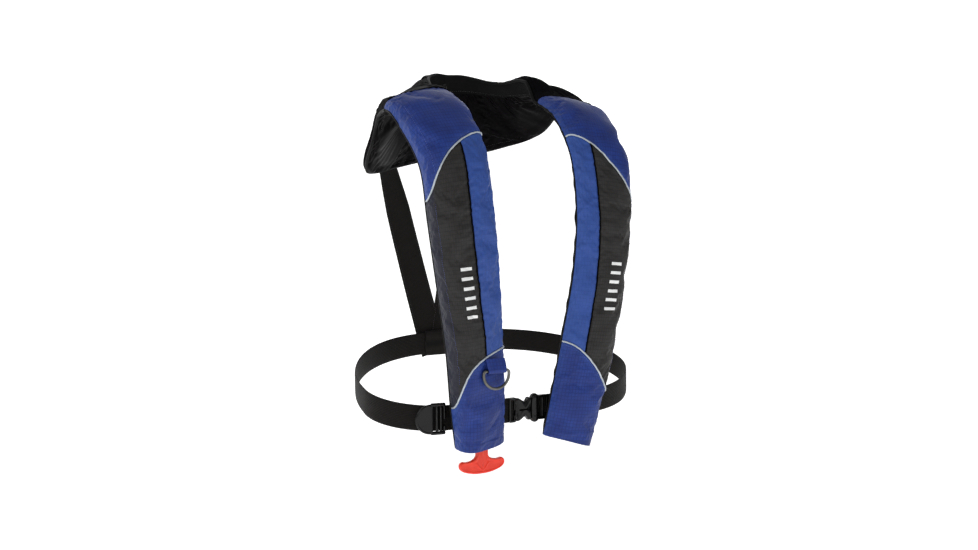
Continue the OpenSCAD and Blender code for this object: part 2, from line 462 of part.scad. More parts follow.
// Oral tube in the left lobe.
module oral_tube() color([0.95, 0.85, 0.1]) in_lobe(1) translate([0, ay, 0]) {
  difference() { cylinder(r = tube_r, h = tube_l, $fn = 40); translate([0, 0, 4]) cylinder(r = tube_r - 1.6, h = tube_l, $fn = 36); }
  translate([0, 0, 7]) rotate([-90, 0, 0]) cylinder(r = 5, h = 12, $fn = 36);
  translate([0, 12, 7]) rotate([-90, 0, 0]) cylinder(r = 11, h = 1.6, $fn = 40);
}
module valve_body() color([0.08, 0.08, 0.08]) in_lobe(1) translate([0, ay, tube_l + 0.3]) difference() {
  cylinder(r = tube_r + 1.2, h = 16, $fn = 40);
  translate([0, 0, -1]) cylinder(r = tube_r - 2.2, h = 13, $fn = 36);
  translate([0, 0, 10]) cylinder(r = 1.55, h = 8, $fn = 30);
}
module valve_poppet() color([0.85, 0.2, 0.15]) in_lobe(1) translate([0, ay, tube_l + 0.3]) {
  translate([0, 0, 3]) cylinder(r = 1.5, h = 16.8, $fn = 30);
  translate([0, 0, 19.5]) cylinder(r = 2.4, h = 1.4, $fn = 30);
}
module valve_spring() color([0.7, 0.7, 0.7]) in_lobe(1) translate([0, ay, tube_l + 0.3]) difference() {
  translate([0, 0, 4]) cylinder(r = 2.7, h = 7, $fn = 30);
  translate([0, 0, 3]) cylinder(r = 1.8, h = 9, $fn = 30);
}
module dust_cap() color([0.08, 0.08, 0.08]) in_lobe(1) translate([0, ay, tube_l + 0.3]) difference() {
  translate([0, 0, 9]) cylinder(r = tube_r + 2.8, h = 16, $fn = 40);
  translate([0, 0, 8]) cylinder(r = tube_r + 1.25, h = 15, $fn = 40);
}

shoulder_panel(-1);  // shoulder_panel_r
shoulder_panel(1);  // shoulder_panel_l
side_panel(-1);  // side_panel_r
side_panel(1);  // side_panel_l
inner_strip(-1);  // inner_strip_r
inner_strip(1);  // inner_strip_l
toe_panel(-1);  // toe_panel_r
toe_panel(1);  // toe_panel_l
upper_piping(-1);  // upper_piping_r
upper_piping(1);  // upper_piping_l
lower_piping(-1);  // lower_piping_r
lower_piping(1);  // lower_piping_l
strip_piping(-1);  // strip_piping_r
strip_piping(1);  // strip_piping_l
toe_cap(-1);  // toe_cap_r
toe_cap(1);  // toe_cap_l
lining(-1);  // lining_r
lining(1);  // lining_l
back_panel();
back_lining();
neck_band();
bladder(-1);  // bladder_r
bladder(1);  // bladder_l
bladder_neck();
strap_r();
strap_l();
belt_sleeve();
keeper(-1);  // keeper_r
keeper(1);  // keeper_l
belt_right();
belt_left();
adjuster();
buckle_socket();
buckle_plug();
prong_upper();
prong_lower();
ring_tab();
d_ring();
inflator_body();
retaining_nut();
gas_cylinder();
bobbin();
bobbin_cap();
piercing_pin();
lever();
lanyard();
pull_handle();
oral_tube();
valve_body();
valve_spring();
valve_poppet();
dust_cap();
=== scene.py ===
import math
import bpy
import numpy as np
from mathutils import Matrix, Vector


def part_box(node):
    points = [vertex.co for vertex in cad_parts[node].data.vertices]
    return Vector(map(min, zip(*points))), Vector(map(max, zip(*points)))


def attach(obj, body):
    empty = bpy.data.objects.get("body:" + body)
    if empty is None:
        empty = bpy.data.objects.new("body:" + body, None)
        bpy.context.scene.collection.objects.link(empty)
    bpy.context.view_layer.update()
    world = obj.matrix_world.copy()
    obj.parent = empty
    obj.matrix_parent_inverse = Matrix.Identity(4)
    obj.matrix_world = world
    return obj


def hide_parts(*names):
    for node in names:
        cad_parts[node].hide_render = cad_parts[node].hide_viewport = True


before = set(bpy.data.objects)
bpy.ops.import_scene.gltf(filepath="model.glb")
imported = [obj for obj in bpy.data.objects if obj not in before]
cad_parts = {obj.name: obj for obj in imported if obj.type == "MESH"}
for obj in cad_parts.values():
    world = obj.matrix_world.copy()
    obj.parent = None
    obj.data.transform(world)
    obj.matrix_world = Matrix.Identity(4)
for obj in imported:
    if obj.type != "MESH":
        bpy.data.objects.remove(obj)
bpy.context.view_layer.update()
rng = np.random.default_rng(7)  # one seeded source for every uneven fold and stitch
scene = bpy.context.scene
print("frame loaded")

# camera
cameraSettings = {
    "target": (0.009, 0.0, -0.206),  # metres, in the frame of the part
    "azimuth": -30.0,  # degrees to the wearer's right of straight ahead
    "elevation": 4.0,
    "distance": 1.5,
    "lens": 36.8,
}


def placeCamera(c):
    # the camera sits at target + distance along the viewing direction and looks back at the target
    turn, rise = math.radians(-c["azimuth"]), math.radians(c["elevation"])
    away = Vector((-math.sin(turn) * math.cos(rise), -math.cos(turn) * math.cos(rise), math.sin(rise)))
    data = bpy.data.cameras.new("camera")
    data.lens, data.sensor_width, data.clip_end = c["lens"], 36, 50
    obj = bpy.data.objects.new("camera", data)
    scene.collection.objects.link(obj)
    obj.location = Vector(c["target"]) + away * c["distance"]
    obj.rotation_euler = away.to_track_quat("Z", "Y").to_euler()
    scene.camera = obj


placeCamera(cameraSettings)


# materials
def toLinear(text):
    # sRGB hex to linear: v/12.92 below 0.04045, ((v+0.055)/1.055)^2.4 above
    v = np.array([int(text[i:i + 2], 16) / 255 for i in (1, 3, 5)])
    return (*np.where(v < 0.04045, v / 12.92, ((v + 0.055) / 1.055) ** 2.4).tolist(), 1.0)


def addNode(tree, kind, settings=None, links=None):
    # adds a shader node, sets its attributes, then sets or links each input
    node = tree.nodes.new("ShaderNode" + kind)
    for key, value in (settings or {}).items():
        if key == "stops":
            ramp = node.color_ramp.elements
            while len(ramp) < len(value):
                ramp.new(0.5)
            for element, (place, colour) in zip(ramp, value):
                element.position, element.color = place, colour
        else:
            setattr(node, key, value)
    for key, value in (links or {}).items():
        if isinstance(value, bpy.types.NodeSocket):
            tree.links.new(value, node.inputs[key])
        else:
            node.inputs[key].default_value = value
    return node


def startMaterial(name, shader):
    # a new material with one Principled shader; shader holds its own socket values
    mat = bpy.data.materials.new(name)
    mat.use_nodes = True
    tree = mat.node_tree
    tree.nodes.clear()
    bsdf = addNode(tree, "BsdfPrincipled", links=shader)
    addNode(tree, "OutputMaterial", links={"Surface": bsdf.outputs[0]})
    return mat, tree, bsdf


def clothMaterial(name, c):
    # coated cloth: base colour, a ripstop grid every gridMm, a fine weave every weaveMm, slow unevenness,
    # and a second tone laid on per point: along seams and edges, and as painted sheen on the inner strips and
    # satin puckers
    mat, tree, bsdf = startMaterial(name, c["shader"])
    uv = addNode(tree, "UVMap", {"uv_map": "cloth"})
    inMm = addNode(tree, "Mapping", links={"Vector": uv.outputs[0], "Scale": (1000, 1000, 1000)})
    grid = addNode(tree, "TexBrick", {"offset": 0.0, "squash": 1.0}, {
        "Vector": inMm.outputs[0], "Scale": 1.0, "Brick Width": c["gridMm"], "Row Height": c["gridMm"],
        "Mortar Size": c["lineMm"], "Mortar Smooth": 0.6, "Color1": (0, 0, 0, 1), "Color2": (0, 0, 0, 1),
        "Mortar": (1, 1, 1, 1)})
    weave = addNode(tree, "TexWave", {"bands_direction": "Y"}, {
        "Vector": inMm.outputs[0], "Scale": 0.314 / c["weaveMm"], "Distortion": 0.6, "Detail": 1.0})
    cross = addNode(tree, "TexWave", {"bands_direction": "X"}, {
        "Vector": inMm.outputs[0], "Scale": 0.314 / c["weaveMm"], "Distortion": 0.6, "Detail": 1.0})
    cloud = addNode(tree, "TexNoise", links={"Vector": inMm.outputs[0], "Scale": 0.03, "Detail": 4.0,
                                             "Roughness": 0.6})
    tint = addNode(tree, "ValToRGB", {"stops": [(0.3, toLinear(c["dark"])), (0.7, toLinear(c["light"]))]},
                   {"Fac": cloud.outputs[0]})
    lines = addNode(tree, "Math", {"operation": "MULTIPLY"}, {0: grid.outputs["Color"], 1: c["gridMix"]})
    lined = addNode(tree, "Mix", {"data_type": "RGBA"}, {
        0: lines.outputs[0], 6: tint.outputs[0], 7: toLinear(c["line"])})
    thread = addNode(tree, "Math", {"operation": "MULTIPLY"},
                     {0: weave.outputs["Fac"], 1: cross.outputs["Fac"]})
    fleck = addNode(tree, "Math", {"operation": "MULTIPLY"}, {0: thread.outputs[0], 1: c["weaveMix"]})
    woven = addNode(tree, "Mix", {"data_type": "RGBA", "blend_type": "MULTIPLY"}, {
        0: fleck.outputs[0], 6: lined.outputs[2], 7: (0.45, 0.45, 0.45, 1)})
    # second tone per point: a tone along seams and edges, and painted sheen on the inner strips and along the
    # satin's puckers
    wear = addNode(tree, "Attribute", {"attribute_name": "wear"})
    wornAndSheen = addNode(tree, "Mix", {"data_type": "RGBA"}, {
        0: wear.outputs["Fac"], 6: woven.outputs[2], 7: toLinear(c["wornAndSheen"])})
    height = addNode(tree, "Math", {"operation": "MULTIPLY_ADD"}, {
        0: grid.outputs["Color"], 1: c["gridLift"], 2: thread.outputs[0]})
    bump = addNode(tree, "Bump", links={
        "Height": height.outputs[0], "Strength": c["bump"], "Distance": c["weaveMm"] * 0.0003})
    rough = addNode(tree, "MapRange", links={
        "Value": cloud.outputs[0], "To Min": c["rough"] - 0.07, "To Max": c["rough"] + 0.07})
    for a, b in ((wornAndSheen.outputs[2], "Base Color"), (bump.outputs[0], "Normal"), (rough.outputs[0], "Roughness")):
        tree.links.new(a, bsdf.inputs[b])
    return mat


def webbingMaterial(name, c):
    # woven webbing: ribs across every ribMm, lengthwise cords every cordMm, a plain edge
    mat, tree, bsdf = startMaterial(name, c["shader"])
    uv = addNode(tree, "UVMap", {"uv_map": "cloth"})
    inMm = addNode(tree, "Mapping", links={"Vector": uv.outputs[0], "Scale": (1000, 1000, 1000)})
    ribs = addNode(tree, "TexWave", {"bands_direction": "Y", "wave_profile": "SIN"}, {
        "Vector": inMm.outputs[0], "Scale": 0.314 / c["ribMm"], "Distortion": 0.5, "Detail": 2.0,
        "Detail Scale": 0.6})
    cords = addNode(tree, "TexWave", {"bands_direction": "X", "wave_profile": "SIN"}, {
        "Vector": inMm.outputs[0], "Scale": 0.314 / c["cordMm"], "Distortion": 0.2})
    both = addNode(tree, "Math", {"operation": "MULTIPLY"}, {0: ribs.outputs["Fac"], 1: cords.outputs["Fac"]})
    fuzz = addNode(tree, "TexNoise", links={"Vector": inMm.outputs[0], "Scale": 0.35, "Detail": 5.0})
    total = addNode(tree, "Math", {"operation": "MULTIPLY_ADD"},
                    {0: fuzz.outputs[0], 1: 0.5, 2: both.outputs[0]})
    tint = addNode(tree, "ValToRGB", {"stops": [(0.2, toLinear(c["dark"])), (1.0, toLinear(c["light"]))]},
                   {"Fac": total.outputs[0]})
    bump = addNode(tree, "Bump", links={"Height": total.outputs[0], "Strength": 0.8, "Distance": 0.0006})
    for a, b in ((tint.outputs[0], "Base Color"), (bump.outputs[0], "Normal")):
        tree.links.new(a, bsdf.inputs[b])
    return mat


def solidMaterial(name, c):
    # moulded or metal part: two close tones in a slow noise, fine grain bump, roughness that wanders
    mat, tree, bsdf = startMaterial(name, c["shader"])
    place = addNode(tree, "TexCoord")
    slow = addNode(tree, "TexNoise", links={"Vector": place.outputs["Object"], "Scale": c.get("slow", 60.0),
                                            "Detail": 3.0})
    fine = addNode(tree, "TexNoise", links={
        "Vector": place.outputs["Object"], "Scale": 1 / (c["grainMm"] * 0.001), "Detail": 2.0})
    tint = addNode(tree, "ValToRGB", {"stops": [(0.3, toLinear(c["dark"])), (0.7, toLinear(c["light"]))]},
                   {"Fac": slow.outputs[0]})
    rough = addNode(tree, "MapRange", links={
        "Value": fine.outputs[0], "To Min": c["rough"] - 0.06, "To Max": c["rough"] + 0.06})
    bump = addNode(tree, "Bump", links={"Height": fine.outputs[0], "Strength": c["bump"], "Distance": 0.0002})
    for a, b in ((tint.outputs[0], "Base Color"), (rough.outputs[0], "Roughness"), (bump.outputs[0], "Normal")):
        tree.links.new(a, bsdf.inputs[b])
    return mat


# nylon ripstop with a polyurethane coat: satin, a faint square grid of thicker threads, a soft sheen
# real ripstop squares are 5 mm here, its single threads 0.3 mm, drawn at 0.9 mm so that they show
nylonShader = {"Specular IOR Level": 0.22, "IOR": 1.53, "Sheen Weight": 0.06, "Sheen Roughness": 0.4}
blueNylon = clothMaterial("blueNylonRipstop", {
    "shader": {**nylonShader, "Sheen Tint": toLinear("#8FA4E0")}, "dark": "#1B2F74", "light": "#233D8C",
    "line": "#121F56", "wornAndSheen": "#3F63AE", "gridMm": 5.0, "lineMm": 0.55, "gridMix": 0.55, "weaveMm": 0.9,
    "weaveMix": 0.25, "gridLift": 0.9, "bump": 0.35, "rough": 0.46})
charcoalNylon = clothMaterial("charcoalNylonRipstop", {
    "shader": {**nylonShader, "Sheen Tint": toLinear("#8C8A86")}, "dark": "#242221", "light": "#323030",
    "line": "#151413", "wornAndSheen": "#1A2036", "gridMm": 5.0, "lineMm": 0.55, "gridMix": 0.6, "weaveMm": 0.9,
    "weaveMix": 0.3, "gridLift": 0.9, "bump": 0.4, "rough": 0.5})
# black nylon of the collar's outside: plainer weave, duller, slightly brown
blackNylon = clothMaterial("blackCollarNylon", {
    "shader": {**nylonShader, "Specular IOR Level": 0.02, "Sheen Weight": 0.008,
               "Sheen Tint": toLinear("#6E6A70")}, "dark": "#070608", "light": "#0E0C0F",
    "line": "#040404", "wornAndSheen": "#100E11", "gridMm": 5.0, "lineMm": 0.5, "gridMix": 0.35, "weaveMm": 0.9,
    "weaveMix": 0.3, "gridLift": 0.6, "bump": 0.35, "rough": 0.66})
# polyester satin lining: smoother, plum black; the bright streaks along its puckers are painted sheen, laid on
# by its second tone
satin = clothMaterial("blackSatinLining", {
    "shader": {"Specular IOR Level": 0.035, "Sheen Weight": 0.004, "Sheen Roughness": 0.35,
               "Sheen Tint": toLinear("#7A6E7C")},
    "dark": "#060506", "light": "#0A080A", "line": "#060506", "wornAndSheen": "#120F13", "gridMm": 5.0, "lineMm": 0.2,
    "gridMix": 0.1, "weaveMm": 0.8, "weaveMix": 0.15, "gridLift": 0.1, "bump": 0.15, "rough": 0.38})
# brushed polyester knit of the neck band: dead matt black
knit = clothMaterial("blackNeckKnit", {
    "shader": {"Specular IOR Level": 0.12, "Sheen Weight": 0.05, "Sheen Roughness": 0.6,
               "Sheen Tint": toLinear("#5A5A60")},
    "dark": "#080808", "light": "#0F0F10", "line": "#060606", "wornAndSheen": "#141415", "gridMm": 3.0, "lineMm": 0.4,
    "gridMix": 0.2, "weaveMm": 1.1, "weaveMix": 0.4, "gridLift": 0.3, "bump": 0.6, "rough": 0.85})
# polyester webbing: ribs across it every 1.6 mm, lengthwise cords 2.2 mm apart, dull with a faint brown cast
webbing = webbingMaterial("blackPolyesterWebbing", {
    "shader": {"Roughness": 0.66, "Specular IOR Level": 0.15, "Sheen Weight": 0.04, "Sheen Roughness": 0.5},
    "dark": "#030202", "light": "#1E1A17", "ribMm": 1.6, "cordMm": 2.2})
# grosgrain binding tape: fine ribs, satin black
binding = webbingMaterial("blackBindingTape", {
    "shader": {"Roughness": 0.6, "Specular IOR Level": 0.15, "Sheen Weight": 0.04},
    "dark": "#030303", "light": "#121112", "ribMm": 1.2, "cordMm": 1.6})
# silver retroreflective piping: glass beads in resin give a pale even grey with a fine sparkle
silverPiping = solidMaterial("silverReflectivePiping", {
    "shader": {"Metallic": 0.25, "Specular IOR Level": 0.6}, "dark": "#A9B2BA", "light": "#C9D0D6",
    "rough": 0.42, "grainMm": 0.5, "bump": 0.3})
# white reflective film bars, heat pressed: flat, slightly beaded
whiteFilm = solidMaterial("whiteReflectiveFilm", {
    "shader": {"Specular IOR Level": 0.5}, "dark": "#E4E6E6", "light": "#F4F5F4", "rough": 0.4, "grainMm": 0.5,
    "bump": 0.2})
# bonded polyester threads
blueThread = solidMaterial("blueThread", {
    "shader": {"Sheen Weight": 0.3}, "dark": "#2A3F94", "light": "#3C56B4", "rough": 0.55, "grainMm": 0.3,
    "bump": 0.4})
blackThread = solidMaterial("blackThread", {
    "shader": {"Sheen Weight": 0.3}, "dark": "#1B1A1A", "light": "#2E2C2B", "rough": 0.55, "grainMm": 0.3,
    "bump": 0.4})
# moulded acetal: hard gloss over near black, soft broad highlights with a slightly warm cast
blackAcetal = solidMaterial("blackMouldedAcetal", {
    "shader": {"IOR": 1.48, "Specular IOR Level": 0.32}, "dark": "#030303", "light": "#080707", "rough": 0.22,
    "grainMm": 0.6, "bump": 0.12})
# bead-blasted stainless wire: mid grey, soft reflections
ringSteel = solidMaterial("blastedStainlessWire", {
    "shader": {"Metallic": 1.0}, "dark": "#5C5B57", "light": "#7A7974", "rough": 0.36, "grainMm": 0.5,
    "bump": 0.25})
# moulded red polypropylene: even satin gloss, a little light passes into it
redPlastic = solidMaterial("redMouldedPolypropylene", {
    "shader": {"IOR": 1.49, "Subsurface Weight": 0.12, "Subsurface Scale": 0.004, "Specular IOR Level": 0.5},
    "dark": "#EC3218", "light": "#F64024", "rough": 0.34, "grainMm": 0.7, "bump": 0.1})
# polyurethane-coated bladder cloth: even yellow, waxy
yellowFilm = solidMaterial("yellowBladderFilm", {
    "shader": {"Specular IOR Level": 0.45}, "dark": "#E0C416", "light": "#EDD42A", "rough": 0.5, "grainMm": 0.8,
    "bump": 0.3})
whiteAcetal = solidMaterial("whiteMouldedAcetal", {  # inflator body: clean satin white
    "shader": {"IOR": 1.48}, "dark": "#DAD9D4", "light": "#E6E5E0", "rough": 0.35, "grainMm": 0.6, "bump": 0.1})
zincSteel = solidMaterial("zincPlatedSteel",
                          {  # gas bottle: bright grey with a slight cloud of the plating bath
    "shader": {"Metallic": 1.0}, "dark": "#A2A6AA", "light": "#BCC0C2", "rough": 0.3, "grainMm": 0.8,
    "bump": 0.15})
yellowPlastic = solidMaterial("yellowMouldedCap", {  # bobbin cap: satin yellow
    "shader": {"IOR": 1.48}, "dark": "#E6B412", "light": "#F0C220", "rough": 0.36, "grainMm": 0.6, "bump": 0.1})
redCord = solidMaterial("redBraidedCord", {  # lanyard: dull red threads
    "shader": {"Sheen Weight": 0.4}, "dark": "#A81E16", "light": "#C02A20", "rough": 0.7, "grainMm": 0.5,
    "bump": 0.8})
print("materials made")


# mesh helpers
def unit(v):
    return v / np.maximum(np.linalg.norm(v, axis=-1, keepdims=True), 1e-9)


def clamp01(v):
    return np.clip(v, 0, 1)


def smoothStep(v):
    v = clamp01(v)
    return v * v * (3 - 2 * v)


def gridFaces(rows, cols, wrap=False, flip=False):
    # quads between neighbours in a grid; wrap joins the last column to the first, flip turns the faces over
    index = np.arange(rows * cols).reshape(rows, cols)
    right = np.roll(index, -1, axis=1) if wrap else index[:, 1:]
    left = index if wrap else index[:, :-1]
    quads = np.stack([left[:-1], right[:-1], right[1:], left[1:]], -1).reshape(-1, 4)
    return (quads[:, ::-1] if flip else quads).tolist()


def newObject(name, points, faces, material=None, smooth=True):
    # a mesh object in the scene, from points in mm
    mesh = bpy.data.meshes.new(name)
    mesh.from_pydata((points.reshape(-1, 3) * 0.001).tolist(), [], faces)
    mesh.update()
    mesh.polygons.foreach_set("use_smooth", np.full(len(mesh.polygons), smooth))
    if material is not None:
        mesh.materials.append(material)
    obj = bpy.data.objects.new(name, mesh)
    scene.collection.objects.link(obj)
    return obj


def makeMesh(name, grid, material, body="cover", uv=None, wrap=False, caps=False, flip=False,
             wear=None, solid=0.0):
    # grid is rows x columns x 3 in mm. caps closes the first and last rings, solid is a wall built inward in mm
    rows, cols = grid.shape[:2]
    faces = gridFaces(rows, cols, wrap, flip)
    if caps:
        first, final = list(range(cols)), list(range((rows - 1) * cols, rows * cols))
        faces += [first if flip else first[::-1], final[::-1] if flip else final]
    obj = newObject(name, grid, faces, material)
    mesh = obj.data
    if uv is None:
        uv = np.zeros((rows, cols, 2))
    layer = mesh.uv_layers.new(name="cloth")
    corner = np.zeros(len(mesh.loops), dtype=np.int64)
    mesh.loops.foreach_get("vertex_index", corner)
    layer.data.foreach_set("uv", (uv.reshape(-1, 2)[corner] * 0.001).ravel())
    tone = mesh.attributes.new("wear", "FLOAT", "POINT")
    if wear is not None:
        tone.data.foreach_set("value", np.ascontiguousarray(wear, dtype=np.float32).ravel())
    if solid:
        wall = obj.modifiers.new("wall", "SOLIDIFY")
        wall.thickness, wall.offset, wall.use_even_offset = solid * 0.001, -1, False
    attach(obj, body)
    return obj


def gridNormals(grid):
    # unit cross product of the two directions of the grid
    return unit(np.cross(np.gradient(grid, axis=1), np.gradient(grid, axis=0)))


def lengths(grid, axis):
    # running distance along one direction of the grid, in mm
    step = np.linalg.norm(np.diff(grid, axis=axis), axis=-1)
    pad = [(0, 0), (0, 0)]
    pad[axis] = (1, 0)
    return np.pad(np.cumsum(step, axis=axis), pad)


def tubeGrid(path, radius, sides=14, up=(0, 0, 1), flat=1.0):
    # a round section carried along a path: centre + radius (cos a side + flat sin a across)
    along = unit(np.gradient(path, axis=0))
    side = unit(np.cross(along, np.broadcast_to(np.asarray(up, float), path.shape)))
    across = np.cross(side, along)
    a = np.linspace(0, 2 * np.pi, sides, endpoint=False)
    r = np.broadcast_to(np.asarray(radius, float), (len(path),))[:, None, None]
    return path[:, None] + r * (side[:, None] * np.cos(a)[None, :, None] + flat * across[:, None]
                                * np.sin(a)[None, :, None])


def bandGrid(path, wide, thin, width, thickness, sides=28):
    # a strap: a superellipse section, long in direction wide and thin in direction thin, carried along a path
    a = np.linspace(0, 2 * np.pi, sides, endpoint=False)
    c, s = np.cos(a), np.sin(a)
    x = np.sign(c) * np.abs(c) ** 0.35 * width / 2
    y = np.sign(s) * np.abs(s) ** 0.7 * thickness / 2
    grid = path[:, None] + wide[:, None] * x[None, :, None] + thin[:, None] * y[None, :, None]
    run = np.concatenate([[0], np.cumsum(np.linalg.norm(np.diff(path, axis=0), axis=1))])
    uv = np.stack(np.broadcast_arrays(x[None, :], run[:, None]), -1)
    return grid, uv


def resample(path, count):
    # smooth curve through points: Catmull-Rom on each span, then even spacing along the length
    path = np.asarray(path, float)
    padded = np.vstack([2 * path[0] - path[1], path, 2 * path[-1] - path[-2]])
    u = np.linspace(0, len(path) - 1, max(len(path) * 24, count))
    k = np.minimum(u.astype(int), len(path) - 2)
    f = (u - k)[:, None]
    a, b, c, d = (padded[k + i] for i in range(4))
    line = 0.5 * (2 * b + (c - a) * f + (2 * a - 5 * b + 4 * c - d) * f ** 2 + (3 * b - a - 3 * c + d) * f ** 3)
    run = np.concatenate([[0], np.cumsum(np.linalg.norm(np.diff(line, axis=0), axis=1))])
    want = np.linspace(0, run[-1], count)
    return np.stack([np.interp(want, run, line[:, i]) for i in range(line.shape[1])], -1)


def stitchRow(name, path, out, material, pitch=3.2, size=2.3, thick=0.45, lift=0.25):
    # a row of thread: each stitch a six-cornered diamond lying along the path, one every pitch mm
    run = np.concatenate([[0], np.cumsum(np.linalg.norm(np.diff(path, axis=0), axis=1))])
    want = np.arange(pitch, run[-1] - pitch / 2, pitch)
    if len(want) < 1:
        return
    centre = np.stack([np.interp(want, run, path[:, i]) for i in range(3)], -1)
    ahead = np.stack([np.interp(want + 0.5, run, path[:, i]) for i in range(3)], -1)
    n = unit(np.stack([np.interp(want, run, out[:, i]) for i in range(3)], -1))
    along = unit(ahead - centre)
    side = unit(np.cross(n, along))
    half = size / 2 * (1 + 0.08 * rng.standard_normal(len(want)))[:, None]
    c = centre + n * lift
    points = np.stack([c - along * half, c + side * thick / 2, c + n * thick / 2, c - side * thick / 2,
                       c - n * thick / 2, c + along * half], 1)
    base = (np.arange(len(want)) * 6)[:, None, None]
    shape = np.array([[0, 2, 1], [0, 3, 2], [0, 4, 3], [0, 1, 4], [5, 1, 2], [5, 2, 3], [5, 3, 4], [5, 4, 1]])
    obj = newObject(name, points, (base + shape[None]).reshape(-1, 3).tolist(), material)
    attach(obj, "cover")


# cover skin
cover = {
    "frontLen": 482.0, "toeGap": 68.0, "chestGap": 138.0, "toeWide": 75.0, "chestWide": 97.0,
    "chestReach": 148.0,
    "neckBack": 115.0, "collarHigh": 127.0, "lobeDeep": 36.0, "liningDeep": 15.0, "collarLean": 0.13,
    "cloth": 1.2, "pipingRadius": 1.15, "restHigh": 434.0,
    "bandPlace": 0.2,
}
lobeRows = np.array([
    [0.000, 0.00, 0.757, 0.00, -4, -7, 0.80, 0.95], [0.117, 0.14, 0.838, 0.30, 1, -4, 0.92, 1.00],
    [0.297, 0.44, 0.926, 0.42, 4, -4, 1.00, 1.00], [0.481, 0.74, 1.000, 0.55, 15, -6, 1.00, 0.95],
    [0.660, 0.94, 0.986, 0.72, 16, -12, 1.00, 0.85], [0.822, 1.00, 0.865, 0.92, 8, -18, 0.92, 0.70],
    [0.938, 1.03, 0.574, 1.27, 5, -22, 0.78, 0.52], [1.000, 1.08, 0.176, 1.40, -20, -26, 0.60, 0.40]])


def stationTable(c):
    # inner edge, outer edge and two depths at each station, toe to back centre and mirrored on to the other toe
    f, g, r, w, dy, dz, front, rear = lobeRows.T
    inX = c["toeGap"] / 2 + (c["chestGap"] - c["toeGap"]) / 2 * g
    y, z = -c["chestReach"] * r, c["frontLen"] * f - c["restHigh"] + 4
    lobe = np.stack([inX, y, z, inX + c["toeWide"] + (c["chestWide"] - c["toeWide"]) * w, y + dy, z + dz,
                     c["lobeDeep"] * front, c["liningDeep"] * rear], -1)
    x, top, back = c["chestGap"] / 2, c["frontLen"] - c["restHigh"] + 4, c["neckBack"]
    deep, thin = c["lobeDeep"], c["liningDeep"]
    collar = np.array([
        [x * 0.97, back * 0.30, top + 19, x + 97, back * 0.14, top - 34, deep * 0.50, thin * 0.35],
        [x * 0.70, back * 0.74, top + 40, x + 81, back * 0.76, top - 72, deep * 0.40, thin * 0.32],
        [x * 0.35, back * 0.94, top + 49, x + 7, back * 1.22, top - 80, deep * 0.36, thin * 0.32],
        [0, back, top + 49, 0, back + 45, top + 49 - c["collarHigh"], deep * 0.34, thin * 0.32]])
    half = np.vstack([lobe, collar])
    flipped = half[-2::-1] * np.array([-1, 1, 1, -1, 1, 1, 1, 1])
    full = np.vstack([half, flipped])
    return np.vstack([2 * full[0] - full[1], full, 2 * full[-1] - full[-2]]), len(half) - 1


stationRows, lastStation = stationTable(cover)


def curveAt(s):
    # Catmull-Rom curve through the stations
    k = np.clip(np.floor(s), 0, 2 * lastStation - 1).astype(int)
    f = (s - k)[..., None]
    a, b, c, d = (stationRows[k + i] for i in range(4))
    return 0.5 * (2 * b + (c - a) * f + (2 * a - 5 * b + 4 * c - d) * f ** 2 + (3 * b - a - 3 * c + d) * f ** 3)


def skin(s, t, front=True, lift=0.2, inset=0.0):
    # a point of the cover: s along it, t across it; a flat line from inner to outer edge plus a superellipse
    # crown outward (front) or inward (rear), boxier toward the outer edge; the collar leans to the right
    q = curveAt(s)
    inner, outer = q[..., 0:3], q[..., 3:6]
    w = unit(outer - inner)
    ahead, behind = curveAt(s + 0.01), curveAt(s - 0.01)
    along = ahead[..., 0:3] + ahead[..., 3:6] - behind[..., 0:3] - behind[..., 3:6]
    out = -unit(np.cross(along, w))
    crown = np.maximum(0, 1 - np.abs(2 * t - 1) ** 2.6) ** (1 / 2.6)
    bias = 1 - clamp01((7.5 - s) / 3) * 0.65 * (1 - t)
    depth = (q[..., 6] - inset) * crown * bias if front else (q[..., 7] - inset) * crown
    tt = t[..., None]
    p = (inner + w * inset) * (1 - tt) + (outer - w * inset) * tt + out * ((1 if front else -1)
                                                                           * (lift + depth))[..., None]
    x, y = p[..., 0], p[..., 1]
    tilt = clamp01((y - 20) / 100) + 0.92 * clamp01(y / 40) * clamp01((170 - y) / 80)
    stood = smoothStep((s - 6.95) / 0.45) * (  # the collar stands up higher just behind the left shoulder
        24 * np.exp(-(np.maximum(0, s - 7.5) / 0.8) ** 2) * clamp01(1 - t / 0.3)
        + 12 * np.exp(-(np.maximum(0, s - 7.4) / 0.6) ** 2) * np.sin(np.pi * clamp01(t))
        + 22 * np.exp(-((s - 8.2) / 0.5) ** 2) * t * t)
    p[..., 2] += cover["collarLean"] * x * tilt * clamp01(t * 1.2) + np.where(s > lastStation, 0, stood)
    return p


def acrossPlace(v):
    # even steps round the crown: t from 0 to 1 as v goes 0 to 1
    c = np.cos(np.pi * v)
    return 0.5 - 0.5 * np.sign(c) * np.abs(c) ** (1 / 1.3)


def acrossParam(t):
    c = 1 - 2 * np.asarray(t, float)
    return np.arccos(np.sign(c) * np.abs(c) ** 1.3) / np.pi


stationAt = np.linspace(0, 2 * lastStation, 881)
midLine = curveAt(stationAt)
midLine = (midLine[:, 0:3] + midLine[:, 3:6]) / 2
runAt = np.concatenate([[0], np.cumsum(np.linalg.norm(np.diff(midLine, axis=0), axis=1))])


def runOf(s):
    # distance in mm along the middle of the cover at station s
    return np.interp(s, stationAt, runAt)


def stationOf(run):
    return np.interp(run, runAt, stationAt)


def upperSeam(t, side):
    return 5.45 - 1.2 * t ** 1.25 if side > 0 else 5.40 - 0.65 * t ** 1.4 - 0.4 * t ** 8


def lowerSeam(t, side):
    return 1.94 - 0.85 * t ** 1.6 if side > 0 else 1.94 - 0.25 * t ** 1.5 - 0.61 * t ** 7


def crestLine(t):
    return 6.88 + 0.27 * t ** 8


